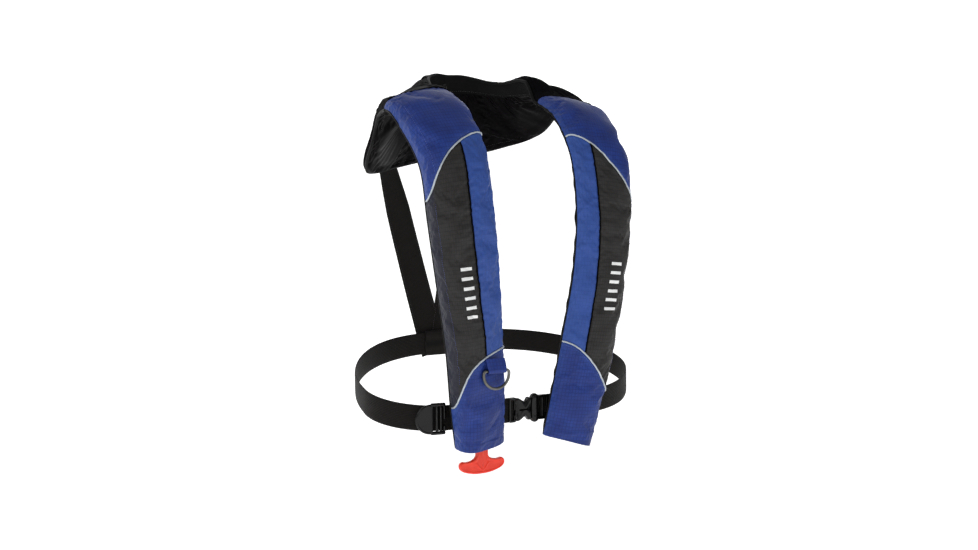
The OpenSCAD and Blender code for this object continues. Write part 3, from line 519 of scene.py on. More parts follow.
def toeLine(t, side):
    return 0.02 + (-0.2 if side > 0 else 0.09) * t ** 1.3


def stripPlace(a, side):
    # place across of the seam beside the inner strip, from its foot a = 0 to its top a = 1
    return 0.351 - 0.101 * a if side > 0 else 0.43 + 0 * a


def shareUp(s, t, side):
    # share of the way from the lower to the upper seam
    return (s - lowerSeam(t, side)) / (upperSeam(t, side) - lowerSeam(t, side))


def mirrorX(grid):
    return grid * np.array([-1.0, 1.0, 1.0])


# cloth simulation
billow = {
    "frames": 22, "grow": 0.018, "push": 0.9, "cap": 3.0,
    # frames, share of spare cloth, pressure, furthest move in mm
    "rows": 128, "cols": 42,
}


def simulateCloth(name, grid, pin, grow, push, frames, cap, flip=False, bending=0.6):
    # Blender's cloth on a coarse copy of the skin: pinned where it is sewn, cut a little larger than its place,
    # pushed outward by the pack inside; returns how far each point moved, in mm, held to cap
    rows, cols = grid.shape[:2]
    shake = 0.12 * rng.standard_normal(grid.shape) * (1 - pin[..., None])
    obj = newObject(name, grid + shake, gridFaces(rows, cols, flip=flip))
    group = obj.vertex_groups.new(name="sewn")
    flat = pin.ravel()
    for level in np.unique(flat[flat > 0]):
        group.add(np.flatnonzero(flat == level).tolist(), float(level), "REPLACE")
    mod = obj.modifiers.new("cloth", "CLOTH")
    st = mod.settings
    st.quality, st.mass, st.bending_stiffness = 6, 0.15, bending
    st.tension_stiffness = st.compression_stiffness = 20
    st.shear_stiffness = 8
    st.vertex_group_mass, st.pin_stiffness = "sewn", 1.0
    st.shrink_min = st.shrink_max = -grow
    st.use_pressure, st.uniform_pressure_force = True, push
    st.effector_weights.gravity = 0
    mod.collision_settings.use_collision = False
    for step in range(1, frames + 1):
        scene.frame_set(step)
    result = obj.evaluated_get(bpy.context.evaluated_depsgraph_get()).to_mesh()
    moved = np.zeros(rows * cols * 3, dtype=np.float32)
    result.vertices.foreach_get("co", moved)
    scene.frame_set(1)
    bpy.data.objects.remove(obj)
    shift = moved.reshape(rows, cols, 3).astype(float) * 1000 - grid
    size = np.linalg.norm(shift, axis=-1, keepdims=True)
    held = shift * (cap * np.tanh(size / cap) / np.maximum(size, 1e-6))
    print(name, "moved", round(float(size.mean()), 2), "mm mean", round(float(size.max()), 2), "mm most")
    return held


def sampleGrid(field, u, v):
    # Catmull-Rom sampling of a grid of vectors at shares u of its rows and v of its columns
    def spread(x, n):
        x = clamp01(x) * (n - 1)
        k = np.minimum(x.astype(int), n - 2)
        f = x - k
        weights = (0.5 * (-f + 2 * f ** 2 - f ** 3), 0.5 * (2 - 5 * f ** 2 + 3 * f ** 3),
                   0.5 * (f + 4 * f ** 2 - 3 * f ** 3), 0.5 * (-f ** 2 + f ** 3))
        return [np.clip(k + i - 1, 0, n - 1) for i in range(4)], weights

    ku, wu = spread(u, field.shape[0])
    kv, wv = spread(v, field.shape[1])
    total = 0
    for i in range(4):
        for j in range(4):
            total = total + field[ku[i], kv[j]] * (wu[i] * wv[j])[..., None]
    return total


def waveField(x, y, count, low, high, seed, lean=1.0):
    # slow folds: a sum of sine waves of wavelengths low to high mm with seeded directions and phases
    own = np.random.default_rng(seed)
    total = np.zeros_like(x)
    for length, turn, phase in zip(own.uniform(low, high, count), own.uniform(-0.9, 0.9, count) * lean,
                                   own.uniform(0, 2 * np.pi, count)):
        total += np.sin(2 * np.pi * (x * np.sin(turn) + y * np.cos(turn)) / length + phase)
    return total / math.sqrt(count)


def simulateLobe(side):
    # front of one lobe from toe to crest, sewn at both edges, across both slanted seams and down the strip seam
    s, v = np.meshgrid(stationOf(np.linspace(lowRun, highRun, billow["rows"])),
                       np.linspace(0, 1, billow["cols"]),
                       indexing="ij")
    t = acrossPlace(v)
    grid = skin(s, t)
    run = runOf(s)
    sewn = np.zeros_like(s)
    for seam in (upperSeam(t, side), lowerSeam(t, side), crestLine(t), toeLine(t, side)):
        sewn = np.where(np.abs(run - runOf(seam)) < 3.0, 0.7, sewn)
    share = shareUp(s, t, side)
    column = np.abs(v - acrossParam(stripPlace(clamp01(share), side))) < 0.6 / billow["cols"]
    sewn = np.where(column & (share > 0) & (share < 1), 0.5, sewn)
    sewn[:, 0] = sewn[:, -1] = 1
    sewn[0] = sewn[-1] = 1
    if side < 0:
        grid = mirrorX(grid)
    shift = simulateCloth("lobeCloth" + ("R" if side < 0 else "L"), grid, sewn, billow["grow"], billow["push"],
                          billow["frames"], billow["cap"], flip=side < 0)
    return mirrorX(shift) if side < 0 else shift


lowRun, highRun = float(runOf(0.0)), float(runOf(7.2))
lobeShift = {-1: simulateLobe(-1), 1: simulateLobe(1)}
print("lobe cloth simulated")


def lobeCloth(s, t, side, v=None, extra=0.0):
    # the lobe's front as sewn: skin, plus the simulated folds, seam valleys, puckers and an extra lift in mm
    v = acrossParam(t) if v is None else v
    base = skin(s, t)
    shift = sampleGrid(lobeShift[side], (runOf(s) - lowRun) / (highRun - lowRun), v)
    run = runOf(s)
    width = lengths(base, 1) if base.ndim == 3 else np.zeros(s.shape)
    upper, lower = run - runOf(upperSeam(t, side)), run - runOf(lowerSeam(t, side))
    share = shareUp(s, t, side)
    strip = (t - stripPlace(clamp01(share), side)) * 95
    inField = (share > 0) & (share < 1)
    valley = -0.7 * np.exp(-(upper / 2.6) ** 2) - 0.7 * np.exp(-(lower / 2.6) ** 2)
    valley = valley - np.where(inField, 0.75 * np.exp(-(strip / 2.0) ** 2), 0)
    u = t * 100
    ripple = waveField(u, run, 5, 7, 13, 31 + side, 0.35)
    near = np.exp(-np.abs(upper) / 9) + np.exp(-np.abs(lower) / 9)
    crossRipple = waveField(run, u, 5, 8, 15, 47 + side, 0.3) * near * 0.16
    edge = np.exp(-(t * 95) / 9) + np.exp(-((1 - t) * 95) / 9)
    sideRipple = ripple * (edge * 0.15 + np.where(inField, np.exp(-np.abs(strip) / 7) * 0.09, 0))
    folds = waveField(u, run, 7, 26, 70, 11 + side, 1.0) * 0.45
    fade = smoothStep(t * 16) * smoothStep((1 - t) * 16)
    lift = extra + valley + (crossRipple + sideRipple + folds) * fade
    normal = gridNormals(base) if base.ndim == 3 else None
    if normal is None:
        ds = skin(s + 0.02, t) - skin(s - 0.02, t)
        dt = skin(s, clamp01(t + 0.01)) - skin(s, clamp01(t - 0.01))
        normal = unit(np.cross(dt, ds))
    return base + shift + normal * np.broadcast_to(lift, s.shape)[..., None], normal, width


def lobePanel(name, material, side, cadNode, low, high, placeA, placeB, rows, cols, wear=None,
              hem=0.0):
    # one cloth panel between two seams: rows run up the lobe, columns across it from placeA to placeB
    a = np.linspace(0, 1, rows)[:, None]
    va, vb = acrossParam(placeA(a)), acrossParam(placeB(a))
    v = va + (vb - va) * np.linspace(0, 1, cols)[None]
    t = acrossPlace(v)
    s = low(t) * (1 - a) + high(t) * a
    raised = hem * (1 - smoothStep((runOf(s) - runOf(toeLine(t, side)) - 11.5) / 1.2)) if hem else 0.0
    grid, normal, width = lobeCloth(s, t, side, v, raised)
    uv = np.stack([width + t[:, :1] * 95, runOf(s)], -1)
    tone = wear(s, t, side) if wear is not None else np.zeros(s.shape)
    if side < 0:
        grid = mirrorX(grid)
    obj = makeMesh(name, grid, material, uv=uv, flip=side < 0, wear=tone, solid=cover["cloth"])
    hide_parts(cadNode)
    return obj


def edgeTone(s, t, side):
    # a bluish dark tone along the outer side wall and near the outer edge
    return clamp01(0.45 * smoothStep((t - 0.93) / 0.03) + 0.2 * np.exp(-(1 - t) * 95 / 4))


def seamTone(s, t, side):
    run = runOf(s)
    near = np.exp(-np.abs(run - runOf(upperSeam(t, side)))
                  / 5) + np.exp(-np.abs(run - runOf(lowerSeam(t, side))) / 5)
    return clamp01(0.3 * near + 0.2 * np.exp(-(t * 95) / 4) + 0.2 * np.exp(-((1 - t) * 95) / 4))


def seamStep(mm, s):
    # mm along the lobe as stations near station s
    return float(mm / ((runOf(s + 0.05) - runOf(s - 0.05)) / 0.1))


seamGap = 0.9  # mm from a seam's middle to where a panel tucks under the piping


def makePanels(side, tag):
    def upper(t):
        return upperSeam(t, side)

    def lower(t):
        return lowerSeam(t, side)

    gapUp, gapLow = seamStep(seamGap, 5.0), seamStep(seamGap, 2.0)
    lobePanel(
        "shoulderPanel_" + tag, blueNylon, side, "shoulder_panel_" + tag,
        lambda t: upper(t) + gapUp, crestLine, lambda a: 0 * a, lambda a: 0 * a + 1, 110, 96, seamTone)
    lobePanel(
        "sidePanel_" + tag, charcoalNylon, side, "side_panel_" + tag,
        lambda t: lower(t) + gapLow, lambda t: upper(t) - gapUp,
        lambda a: stripPlace(a, side) + 0.008, lambda a: 0 * a + 1, 190, 74, edgeTone)
    # the inner strip's second tone: an even 0.45 of painted sheen, plus the tone along its seams
    lobePanel(
        "innerStrip_" + tag, blueNylon, side, "inner_strip_" + tag,
        lambda t: lower(t) + gapLow, lambda t: upper(t) - gapUp,
        lambda a: 0 * a, lambda a: stripPlace(a, side) - 0.008, 190, 48,
        lambda s, t, side: clamp01(0.45 + 0.4 * seamTone(s, t, side)))
    lobePanel(
        "toePanel_" + tag, blueNylon, side, "toe_panel_" + tag,
        lambda t: toeLine(t, side), lambda t: lower(t) - gapLow, lambda a: 0 * a, lambda a: 0 * a + 1, 100, 90,
        seamTone, hem=0.7)


for side, tag in ((-1, "r"), (1, "l")):
    makePanels(side, tag)
print("cover panels made")


# piping and stitches
def seamLine(name, s, t, side, radius, lift, material, cadNode=None):
    # a round cord half sunk in a seam: the seam's line on the cloth, raised by lift, with a round section
    line, normal, _ = lobeCloth(s, t, side, extra=lift)
    line, normal = (mirrorX(line), mirrorX(normal)) if side < 0 else (line, normal)
    grid = tubeGrid(line, radius * (1 + 0.05 * waveField(np.zeros(len(s)), runOf(s) + t * 90, 4, 6, 20, 5)),
                    up=(0, -1, 0.02))
    obj = makeMesh(name, grid, material, wrap=True, caps=True, flip=True)
    if cadNode:
        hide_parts(cadNode)
    return line, normal


def seamStitches(name, s, t, side, material, pitch=3.2):
    line, normal, _ = lobeCloth(s, t, side)
    line, normal = (mirrorX(line), mirrorX(normal)) if side < 0 else (line, normal)
    stitchRow(name, line, normal, material, pitch=pitch)


acrossLine = acrossPlace(np.linspace(0.02, 0.985, 150))
for side, tag in ((-1, "r"), (1, "l")):
    seamLine("upperPiping_" + tag, upperSeam(acrossLine, side), acrossLine, side, cover["pipingRadius"], 0.75,
             silverPiping, "upper_piping_" + tag)
    seamLine("lowerPiping_" + tag, lowerSeam(acrossLine, side), acrossLine, side, cover["pipingRadius"], 0.75,
             silverPiping, "lower_piping_" + tag)
    a = np.linspace(0.008, 0.992, 220)
    t = stripPlace(a, side)
    downStrip = lowerSeam(t, side) + (upperSeam(t, side) - lowerSeam(t, side)) * a
    seamLine("stripPiping_" + tag, downStrip, t, side, 1.0, 0.45, blackNylon,
             "strip_piping_" + tag)
    inner = acrossPlace(np.linspace(0.05, 0.95, 160))
    seamStitches("upperStitch_" + tag, upperSeam(inner, side) + 0.045, inner, side, blueThread)
    seamStitches("lowerStitch_" + tag, lowerSeam(inner, side) - 0.045, inner, side, blueThread)
    seamStitches("hemStitch_" + tag, stationOf(runOf(toeLine(inner, side)) + 10.5), inner, side, blueThread)
    shoulderRun = np.linspace(4.75, 6.9, 170)
    seamStitches("shoulderStitch_" + tag, shoulderRun, np.full(170, 0.90), side, blueThread, 3.4)
    wallRun = np.linspace(1.5, 4.3, 220)
    seamStitches("wallStitch_" + tag, wallRun, np.full(220, 0.935), side, blueThread, 2.6)
print("piping and stitches made")

# generic white reflective bars on the charcoal panels
bars = {"start": 2.48, "count": 6, "pitchMm": 12.5, "highMm": 4.2, "from": 0.52, "to": 0.70}
for side, tag in ((-1, "r"), (1, "l")):
    for k in range(bars["count"]):
        low = float(runOf(bars["start"])) + k * bars["pitchMm"]
        a, b = np.meshgrid(np.linspace(0, 1, 8), np.linspace(0, 1, 26), indexing="ij")
        t = bars["from"] + (bars["to"] - bars["from"]) * b
        s = stationOf(low + a * bars["highMm"])
        grid, normal, width = lobeCloth(s, t, side, extra=0.55)
        grid = mirrorX(grid) if side < 0 else grid
        makeMesh(f"reflectiveBar{k + 1}_{tag}", grid, whiteFilm, flip=side < 0, solid=0.2)

# linings, toes and collar
for side, tag in ((-1, "r"), (1, "l")):
    a, v = np.meshgrid(np.linspace(0, 1, 190), np.linspace(0, 1, 80), indexing="ij")
    t = acrossPlace(v)
    s = toeLine(t, side) * (1 - a) + crestLine(t) * a
    grid = skin(s, t, front=False)
    width, run = lengths(grid, 1), runOf(s)
    fade = smoothStep(v * 12) * smoothStep((1 - v) * 12)
    folds = waveField(t * 100, run, 8, 18, 60, 71 + side) * 0.6 + waveField(run, t * 100, 6, 12, 30,
                                                                            73 + side, 0.3) * 0.25
    grid = grid - gridNormals(grid) * ((folds * fade)[..., None])
    uv = np.stack([width, run], -1)
    grid = mirrorX(grid) if side < 0 else grid
    liningPiece = makeMesh("rearLining_" + tag, grid, blackNylon, uv=uv, flip=side > 0,
                           solid=cover["cloth"])
    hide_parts("lining_" + tag)

    # closing cloth across the foot, in two leaves on the right where the handle's stem comes out
    leaves = ((0.0, 0.34), (0.66, 1.0)) if side < 0 else ((0.0, 1.0),)
    for k, (v0, v1) in enumerate(leaves):
        b, a = np.meshgrid(np.linspace(acrossParam(v0), acrossParam(v1), 40), np.linspace(0, 1, 14),
                           indexing="ij")
        tb = acrossPlace(b)
        foot = toeLine(tb, side) + 0.015
        frontLine, rearLine = skin(foot, tb, True, -0.4, 1.8), skin(foot, tb, False, -0.4, 1.8)
        grid = frontLine * (1 - a[..., None]) + rearLine * a[..., None]
        grid[..., 2] += 1.2 * np.sin(np.pi * a) * np.sin(np.pi * (b - b.min()) / (b.max() - b.min()))
        uv = np.stack([lengths(grid, 1), lengths(grid, 0)], -1)
        grid = mirrorX(grid) if side < 0 else grid
        toe = makeMesh(f"toeCap{k + 1}_{tag}", grid, blackNylon, uv=uv, flip=side > 0, solid=1.0)
        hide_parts("toe_cap_" + tag)

    # black binding along both edges of the lobe, set back behind the seam
    for t0, name in ((0.0, "innerBinding_"), (1.0, "outerBinding_")):
        t = np.full(260, t0)
        s = np.linspace(float(toeLine(t0, side)) + 0.01, 7.2, 260)
        centre = skin(s, t)
        inward = unit(skin(s, np.full(260, 0.5), False) - centre)
        line = centre + inward * 1.0
        line[:, 1] += 1.4 * clamp01((6.2 - s) / 1.0)
        line = mirrorX(line) if side < 0 else line
        makeMesh(name + tag, tubeGrid(line, 1.7, 12, up=(0, -1, 0.02)), binding, wrap=True,
                 caps=True, flip=True)
print("linings and toes made")

collar = {"outerFolds": 0.9, "pucker": 0.75, "puckerMm": 11.0}


def collarGrid(front, t0, t1, rows, cols, lift):
    a, t = np.meshgrid(np.linspace(0, 1, rows), np.linspace(t0, t1, cols), indexing="ij")
    lo = crestLine(clamp01(t)) + 0.008
    s = lo + (2 * lastStation - 2 * lo) * a
    return s, t, skin(s, t, front=front, lift=np.full(s.shape, lift))


def simulateCollar(front, t0, t1, name, grow, push, cap):
    # the collar's outside or its satin inside, sewn along its edges and at the shoulders
    s, t, grid = collarGrid(front, t0, t1, 130, 30, 0.2)
    pin = np.zeros_like(s)
    pin[:, 0] = pin[:, -1] = 1
    pin[0] = pin[-1] = 1
    return simulateCloth(name, grid, pin, grow, push, 20, cap, flip=not front, bending=0.25)


outsideShift = simulateCollar(True, 0, 1, "collarOutsideCloth", 0.03, 0.5, 3.5)
satinShift = simulateCollar(False, cover["bandPlace"], 1, "collarSatinCloth", 0.07, 0.6, 5.0)
print("collar cloth simulated")

s, t, grid = collarGrid(True, 0, 1, 300, 84, 0.2)
a = (s - s.min()) / (s.max() - s.min())
run, width = runOf(s), lengths(grid, 1)
fade = smoothStep(t * 14) * smoothStep((1 - t) * 10)
folds = waveField(width, run, 8, 30, 90, 91) * collar["outerFolds"] * fade
grid = grid + sampleGrid(outsideShift, a, t) + gridNormals(grid) * folds[..., None]
backPanel = makeMesh("backPanel", grid, blackNylon, uv=np.stack([width, run], -1),
                     solid=cover["cloth"],
                     wear=clamp01(np.exp(-(1 - t) * 140 / 5) * 0.6))
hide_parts("back_panel")

s, t, grid = collarGrid(False, cover["bandPlace"], 1, 460, 90, 0.2)
a, b = (s - s.min()) / (s.max() - s.min()), (t - cover["bandPlace"]) / (1 - cover["bandPlace"])
run, width = runOf(s), lengths(grid, 1)
fade = smoothStep(b * 12) * smoothStep((1 - b) * 10)
gather = np.exp(-np.abs(s - 8.1) / 1.0) + np.exp(-np.abs(s - 13.9) / 1.0)
pucker = waveField(b * 60, run, 7, collar["puckerMm"] * 0.8, collar["puckerMm"] * 2.2, 95, 0.35)
folds = pucker * collar["pucker"] * (0.35 + 0.65 * np.exp(-b * 1.7)) * (0.7 + 0.4 * gather) * fade
grid = grid + sampleGrid(satinShift, a, b) - gridNormals(grid) * folds[..., None]
# the satin's second tone follows its puckers: painted sheen along the folds
backLining = makeMesh("backLining", grid, satin, uv=np.stack([width, run], -1), flip=True,
                      solid=cover["cloth"],
                      wear=clamp01(pucker * 0.2))
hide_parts("back_lining")

s, t, grid = collarGrid(False, -0.012, cover["bandPlace"], 300, 30, 1.0)
run, width = runOf(s), lengths(grid, 1)
b = (t - t.min()) / (t.max() - t.min())
grid = grid - gridNormals(grid) * (waveField(width, run, 6, 25, 80, 97) * 0.35 * smoothStep(b * 8)
                                   * smoothStep((1 - b) * 8))[..., None]
neckBand = makeMesh("neckBand", grid, knit, uv=np.stack([width, run], -1), flip=True,
                    solid=cover["cloth"])
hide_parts("neck_band")

# rolled edge along the collar's lower hem and a welt along its top
for t0, name, radius in ((1.0, "collarHem", 2.0), (0.0, "collarTopWelt", 2.1)):
    s = np.linspace(7.1, 2 * lastStation - 7.1, 420) if t0 else np.linspace(6.85, 2 * lastStation - 6.85, 420)
    line = (skin(s, np.full(420, t0), True) + skin(s, np.full(420, t0), False)) / 2
    makeMesh(name, tubeGrid(line, radius, 14, up=(0, 0.15, 1)), binding, wrap=True, caps=True,
             flip=True)
for t0, name, front, thread in ((cover["bandPlace"] - 0.03, "bandStitch", False, blackThread),
                                (0.93, "hemStitchInside", False, blackThread),
                                (0.93, "hemStitchOutside", True, blackThread)):
    s = np.linspace(7.4, 2 * lastStation - 7.4, 400)
    t = np.full(400, t0)
    line = skin(s, t, front, np.full(400, 1.4 if not front else 0.6))
    out = unit(line - skin(s, t, not front))
    stitchRow(name, line, out, thread, pitch=3.4)
print("collar made")

# harness: straps and belt
harness = {
    "beltWide": 35.0, "webThick": 2.2, "front": -100.0, "back": 150.0, "backStart": 4.0, "frontHigh": -391.0,
    "rise": 66.0, "strapWide": 46.0, "strapPlaceRight": 9.8, "strapPlaceLeft": 10.25, "strapFoot": 5.0,
}
# each side of the belt in plan: its reach, half its flat front and back runs, and y where it is widest
rightRun = {"reach": 205.0, "frontFlat": 104.0, "backFlat": 12.0, "turnY": -28.0}
leftRun = {"reach": 252.0, "frontFlat": 112.0, "backFlat": 60.0, "turnY": 10.0}


def beltHigh(y):
    return harness["frontHigh"] + harness["rise"] * (y - harness["front"]) / (harness["back"]
                                                                              - harness["front"])


def beltPath(c, endX, count):
    # plan of one side of the belt: straight back run, quarter oval out to the reach, quarter oval in, straight
    # front run as far as endX
    a = np.linspace(0, np.pi / 2, 60)
    back, front = harness["back"], harness["front"]
    reach, frontFlat, backFlat, turnY = c["reach"], c["frontFlat"], c["backFlat"], c["turnY"]
    first = np.stack([backFlat + (reach - backFlat) * np.sin(a), turnY + (back - turnY) * np.cos(a)], -1)
    second = np.stack([frontFlat + (reach - frontFlat) * np.cos(a), turnY - (turnY - front) * np.sin(a)],
                      -1)[1:]
    straight = np.stack([np.linspace(frontFlat, endX, 20), np.full(20, front)], -1)[1:]
    return evenLine(np.vstack([[[harness["backStart"], back]], first, second, straight]), count)


def evenLine(line, count):
    run = np.concatenate([[0], np.cumsum(np.linalg.norm(np.diff(line, axis=0), axis=1))])
    want = np.linspace(0, run[-1], count)
    return np.stack([np.interp(want, run, line[:, i]) for i in range(line.shape[1])], -1)


def beltPiece(name, plan, side, body, cadNode, sway=0.5, seed=3):
    # webbing on edge along a plan line, at the belt's height for each y, with slight sways of the cloth
    plan = plan * np.array([side, 1.0])
    run = np.concatenate([[0], np.cumsum(np.linalg.norm(np.diff(plan, axis=0), axis=1))])
    path = np.column_stack([plan, beltHigh(plan[:, 1])])
    along = unit(np.gradient(path, axis=0))
    up = np.broadcast_to([0.0, 0.0, 1.0], path.shape)
    up = unit(up - along * np.sum(up * along, axis=1, keepdims=True))
    thin = np.cross(along, up)
    fade = smoothStep(run / 30) * smoothStep((run[-1] - run) / 30)
    path = path + thin * (waveField(np.zeros_like(run), run, 4, 60, 160, seed) * sway * fade)[:, None]
    tilt = waveField(np.zeros_like(run), run, 3, 120, 260, seed + 9) * 0.03 * fade
    up = unit(up + thin * tilt[:, None])
    thin = np.cross(along, up)
    grid, uv = bandGrid(path, up, thin, harness["beltWide"], harness["webThick"])
    obj = makeMesh(name, grid, webbing, body=body, uv=uv, wrap=True, caps=True)
    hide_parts(cadNode)


beltPiece("beltRight", beltPath(rightRun, 14.5, 420), -1, "belt_run", "belt_right", sway=0.25, seed=3)
beltPiece("beltLeft", beltPath(leftRun, 45, 480), 1, "cover", "belt_left", seed=4)


def turnBack(name, barX, inward, length, body):
    # the webbing's end: round the bar and back along its own rear face, sewn down
    a = np.linspace(-np.pi / 2, np.pi / 2, 16)
    radius, front = 2.5, harness["front"]
    bend = np.stack([barX + inward * radius * np.cos(a), front + radius + radius * np.sin(a)], -1)
    lead = np.stack([np.linspace(barX - inward * 7, barX, 8), np.full(8, front)], -1)[:-1]
    tail = np.stack([np.linspace(barX, barX - inward * length, 30), np.full(30, front + 2 * radius)], -1)[1:]
    tail[:, 1] -= 2.3 * smoothStep(np.linspace(0, 3, 29))
    plan = np.vstack([lead, bend, tail])
    path = np.column_stack([plan, beltHigh(np.full(len(plan), front))])
    along = unit(np.gradient(path, axis=0))
    up = np.broadcast_to([0.0, 0.0, 1.0], path.shape)
    thin = np.cross(along, up)
    grid, uv = bandGrid(path, up, thin, harness["beltWide"] - 1.0, 1.9)
    makeMesh(name, grid, webbing, body=body, uv=uv, wrap=True, caps=True)


turnBack("socketTurn", -10.8, 1.0, 42, "belt_run")
turnBack("plugTurn", 37.0, -1.0, 46, "cover")


def strapPiece(name, side, lay, cadNode):
    # a strap from the collar's hem down to the belt sleeve, flat against the collar's outside at its top
    def onCollar(t):
        t = np.asarray(t, float)
        place = harness["strapPlaceLeft"] if side > 0 else 2 * lastStation - harness["strapPlaceRight"]
        return skin(np.full(t.shape, place), t, True, np.full(t.shape, 1.4))

    topLine = onCollar([0.72, 0.80, 0.88, 0.96]) + np.array([0, 0.8, 0])
    hem = onCollar([0.985])[0] + np.array([0, 1.2, -2.0])
    foot = np.array([side * harness["strapFoot"], harness["back"] + 2.2 + lay,
                     beltHigh(harness["back"]) - 16.5])
    f = np.linspace(0, 1, 40)[1:, None]
    g = 1 - f
    rise = hem - foot
    drop = np.hstack([foot[0] + rise[0] * g, foot[1] + rise[1] * g ** 1.6, foot[2] + rise[2] * g])
    line = np.vstack([topLine, hem, drop])
    share = np.concatenate([[0], np.cumsum(np.linalg.norm(np.diff(line, axis=0), axis=1))])
    path = evenLine(line, 200)
    where = np.linspace(0, share[-1], 200)
    knot = np.interp(where, share, np.concatenate([np.arange(5), 4 + 18 * np.linspace(0, 1, 40)[1:]]))
    angle = np.radians(-side * (30 - 18 * clamp01((knot - 4) / 4) - 12 * clamp01((knot - 8) / 13)))
    wide = np.stack([np.cos(angle), np.sin(angle), np.zeros(200)], -1)
    along = unit(np.gradient(path, axis=0))
    wide = unit(wide - along * np.sum(wide * along, axis=1, keepdims=True))
    thin = np.cross(wide, along)
    fade = smoothStep((where - 60) / 60) * smoothStep((share[-1] - where) / 60)
    sway = waveField(np.zeros(200), where, 3, 90, 200, 21 + side) * 0.8 * fade
    path = path + thin * sway[:, None]
    grid, uv = bandGrid(path, wide, thin, harness["strapWide"], 1.8, 32)
    obj = makeMesh(name, grid, webbing, uv=uv, wrap=True, caps=True, flip=True)
    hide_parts(cadNode)
    for offset, row in ((-harness["strapWide"] / 2 + 3, "A"), (harness["strapWide"] / 2 - 3, "B")):
        stitchRow(name + "Stitch" + row, path + wide * offset, -thin, blackThread, pitch=3.2,
                  lift=1.0)


strapPiece("strapRight", -1, 2.4, "strap_r")
strapPiece("strapLeft", 1, 0.2, "strap_l")


def loopPiece(name, centre, wide, deep, high, wall, cadNode, material=webbing):
    # a loop of webbing round the belt: a rounded rectangle in the Y-Z plane given a wall and carried along X
    a = np.linspace(0, 2 * np.pi, 72, endpoint=False)
    c, s = np.cos(a), np.sin(a)

    def ring(half, tall):
        return np.stack([np.zeros(72), np.sign(c) * np.abs(c) ** 0.5 * half,
                         np.sign(s) * np.abs(s) ** 0.12 * tall], -1)

    outer, innerRing = ring(deep / 2 + wall, high / 2 + wall), ring(deep / 2, high / 2)
    x = np.linspace(-wide / 2, wide / 2, 40)
    sway = 0.25 * np.sin(x * 0.35 + 1)
    rows = [outer + np.array([v, 0, 0]) + outer * np.array([0, 0, w * 0.01]) for v, w in zip(x, sway)]
    rows += [innerRing + np.array([v, 0, 0]) for v in x[::-1]]
    rows.append(rows[0])
    grid = np.array(rows) + np.asarray(centre, float)
    uv = np.stack([lengths(grid, 0), np.broadcast_to(np.arange(72) * 1.2, grid.shape[:2])], -1)
    obj = makeMesh(name, grid, material, uv=uv, wrap=True, flip=False)
    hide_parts(cadNode)


loopPiece("beltSleeve", (0, harness["back"], beltHigh(harness["back"])), 48, 3.8, 37.4, 1.4, "belt_sleeve")
for side, tag in ((-1, "r"), (1, "l")):
    loopPiece("keeperLoop_" + tag, (side * 91, harness["front"], harness["frontHigh"]), 18, 3.6, 37.4, 1.2,
              "keeper_" + tag, binding)
print("harness made")


# moulded parts
def plateGrid(outline, spine, half, edge, relief=None, rings=26, bulge=0.0):
    # a moulded plate: each outline point joined to its own spine point, out over the front, round the rim and
    # back over the rear. Columns x,z lie in the plate; the front faces -y. relief(x, z) raises the front. The
    # innermost row of each side lies on the spine and is not closed there
    r = np.linspace(0, 1, rings)
    rim = np.linspace(0, np.pi, 9)[1:-1]
    size = np.linalg.norm(outline - spine, axis=1, keepdims=True)
    rows = []
    for k in r:
        flat = spine + (outline - spine) * k * (1 - edge / size)
        rows.append(np.column_stack([flat[:, 0], np.full(len(flat), -half - bulge * (1 - k ** 2)), flat[:, 1]]))
    for k in rim:
        flat = spine + (outline - spine) * (1 - edge / size * (1 - np.sin(k)))
        rows.append(np.column_stack([flat[:, 0], np.full(len(flat), -half * np.cos(k)), flat[:, 1]]))
    for k in r[::-1]:
        flat = spine + (outline - spine) * k * (1 - edge / size)
        rows.append(np.column_stack([flat[:, 0], np.full(len(flat), half + bulge * (1 - k ** 2)), flat[:, 1]]))
    grid = np.array(rows)
    if relief is not None:
        lift = relief(grid[..., 0], grid[..., 2])
        grid[:rings, :, 1] -= lift[:rings]
        fadeBack = grid[rings:rings + 7, :, 1]
        grid[rings:rings + 7, :, 1] = fadeBack - lift[rings:rings + 7] * clamp01(-fadeBack / half)
    return grid


def smoothOutline(points, count):
    # closed smooth curve through corner points, evenly spaced
    points = np.asarray(points, float)
    wrapped = np.vstack([points, points[0]])
    padded = np.vstack([points[-1], wrapped, points[1]])
    u = np.linspace(0, len(points), count * 6, endpoint=False)
    k = u.astype(int)
    f = (u - k)[:, None]
    a, b, c, d = (padded[k + i] for i in range(4))
    line = 0.5 * (2 * b + (c - a) * f + (2 * a - 5 * b + 4 * c - d) * f ** 2 + (3 * b - a - 3 * c + d) * f ** 3)
    closed = np.vstack([line, line[0]])
    return evenLine(closed, count + 1)[:-1]


def segmentDistance(x, z, a, b):
    # distance of each point from a straight segment
    a, b = np.asarray(a, float), np.asarray(b, float)
    d = b - a
    f = clamp01(((x - a[0]) * d[0] + (z - a[1]) * d[1]) / (d @ d))
    return np.hypot(x - a[0] - f * d[0], z - a[1] - f * d[1])


def placed(grid, origin, turn=0.0):
    # turned about Z by turn degrees, then moved to origin
    c, s = math.cos(math.radians(turn)), math.sin(math.radians(turn))
    return grid @ np.array([[c, s, 0], [-s, c, 0], [0, 0, 1]]) + np.asarray(origin, float)


def addPart(name, grid, material, body, nodes=(), wrap=True, origin=(0, 0, 0), turn=0.0, flip=False,
            caps=False):
    obj = makeMesh(name, placed(grid, origin, turn), material, body=body, wrap=wrap, flip=flip,
                   caps=caps)
    if nodes:
        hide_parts(*nodes)
    return obj


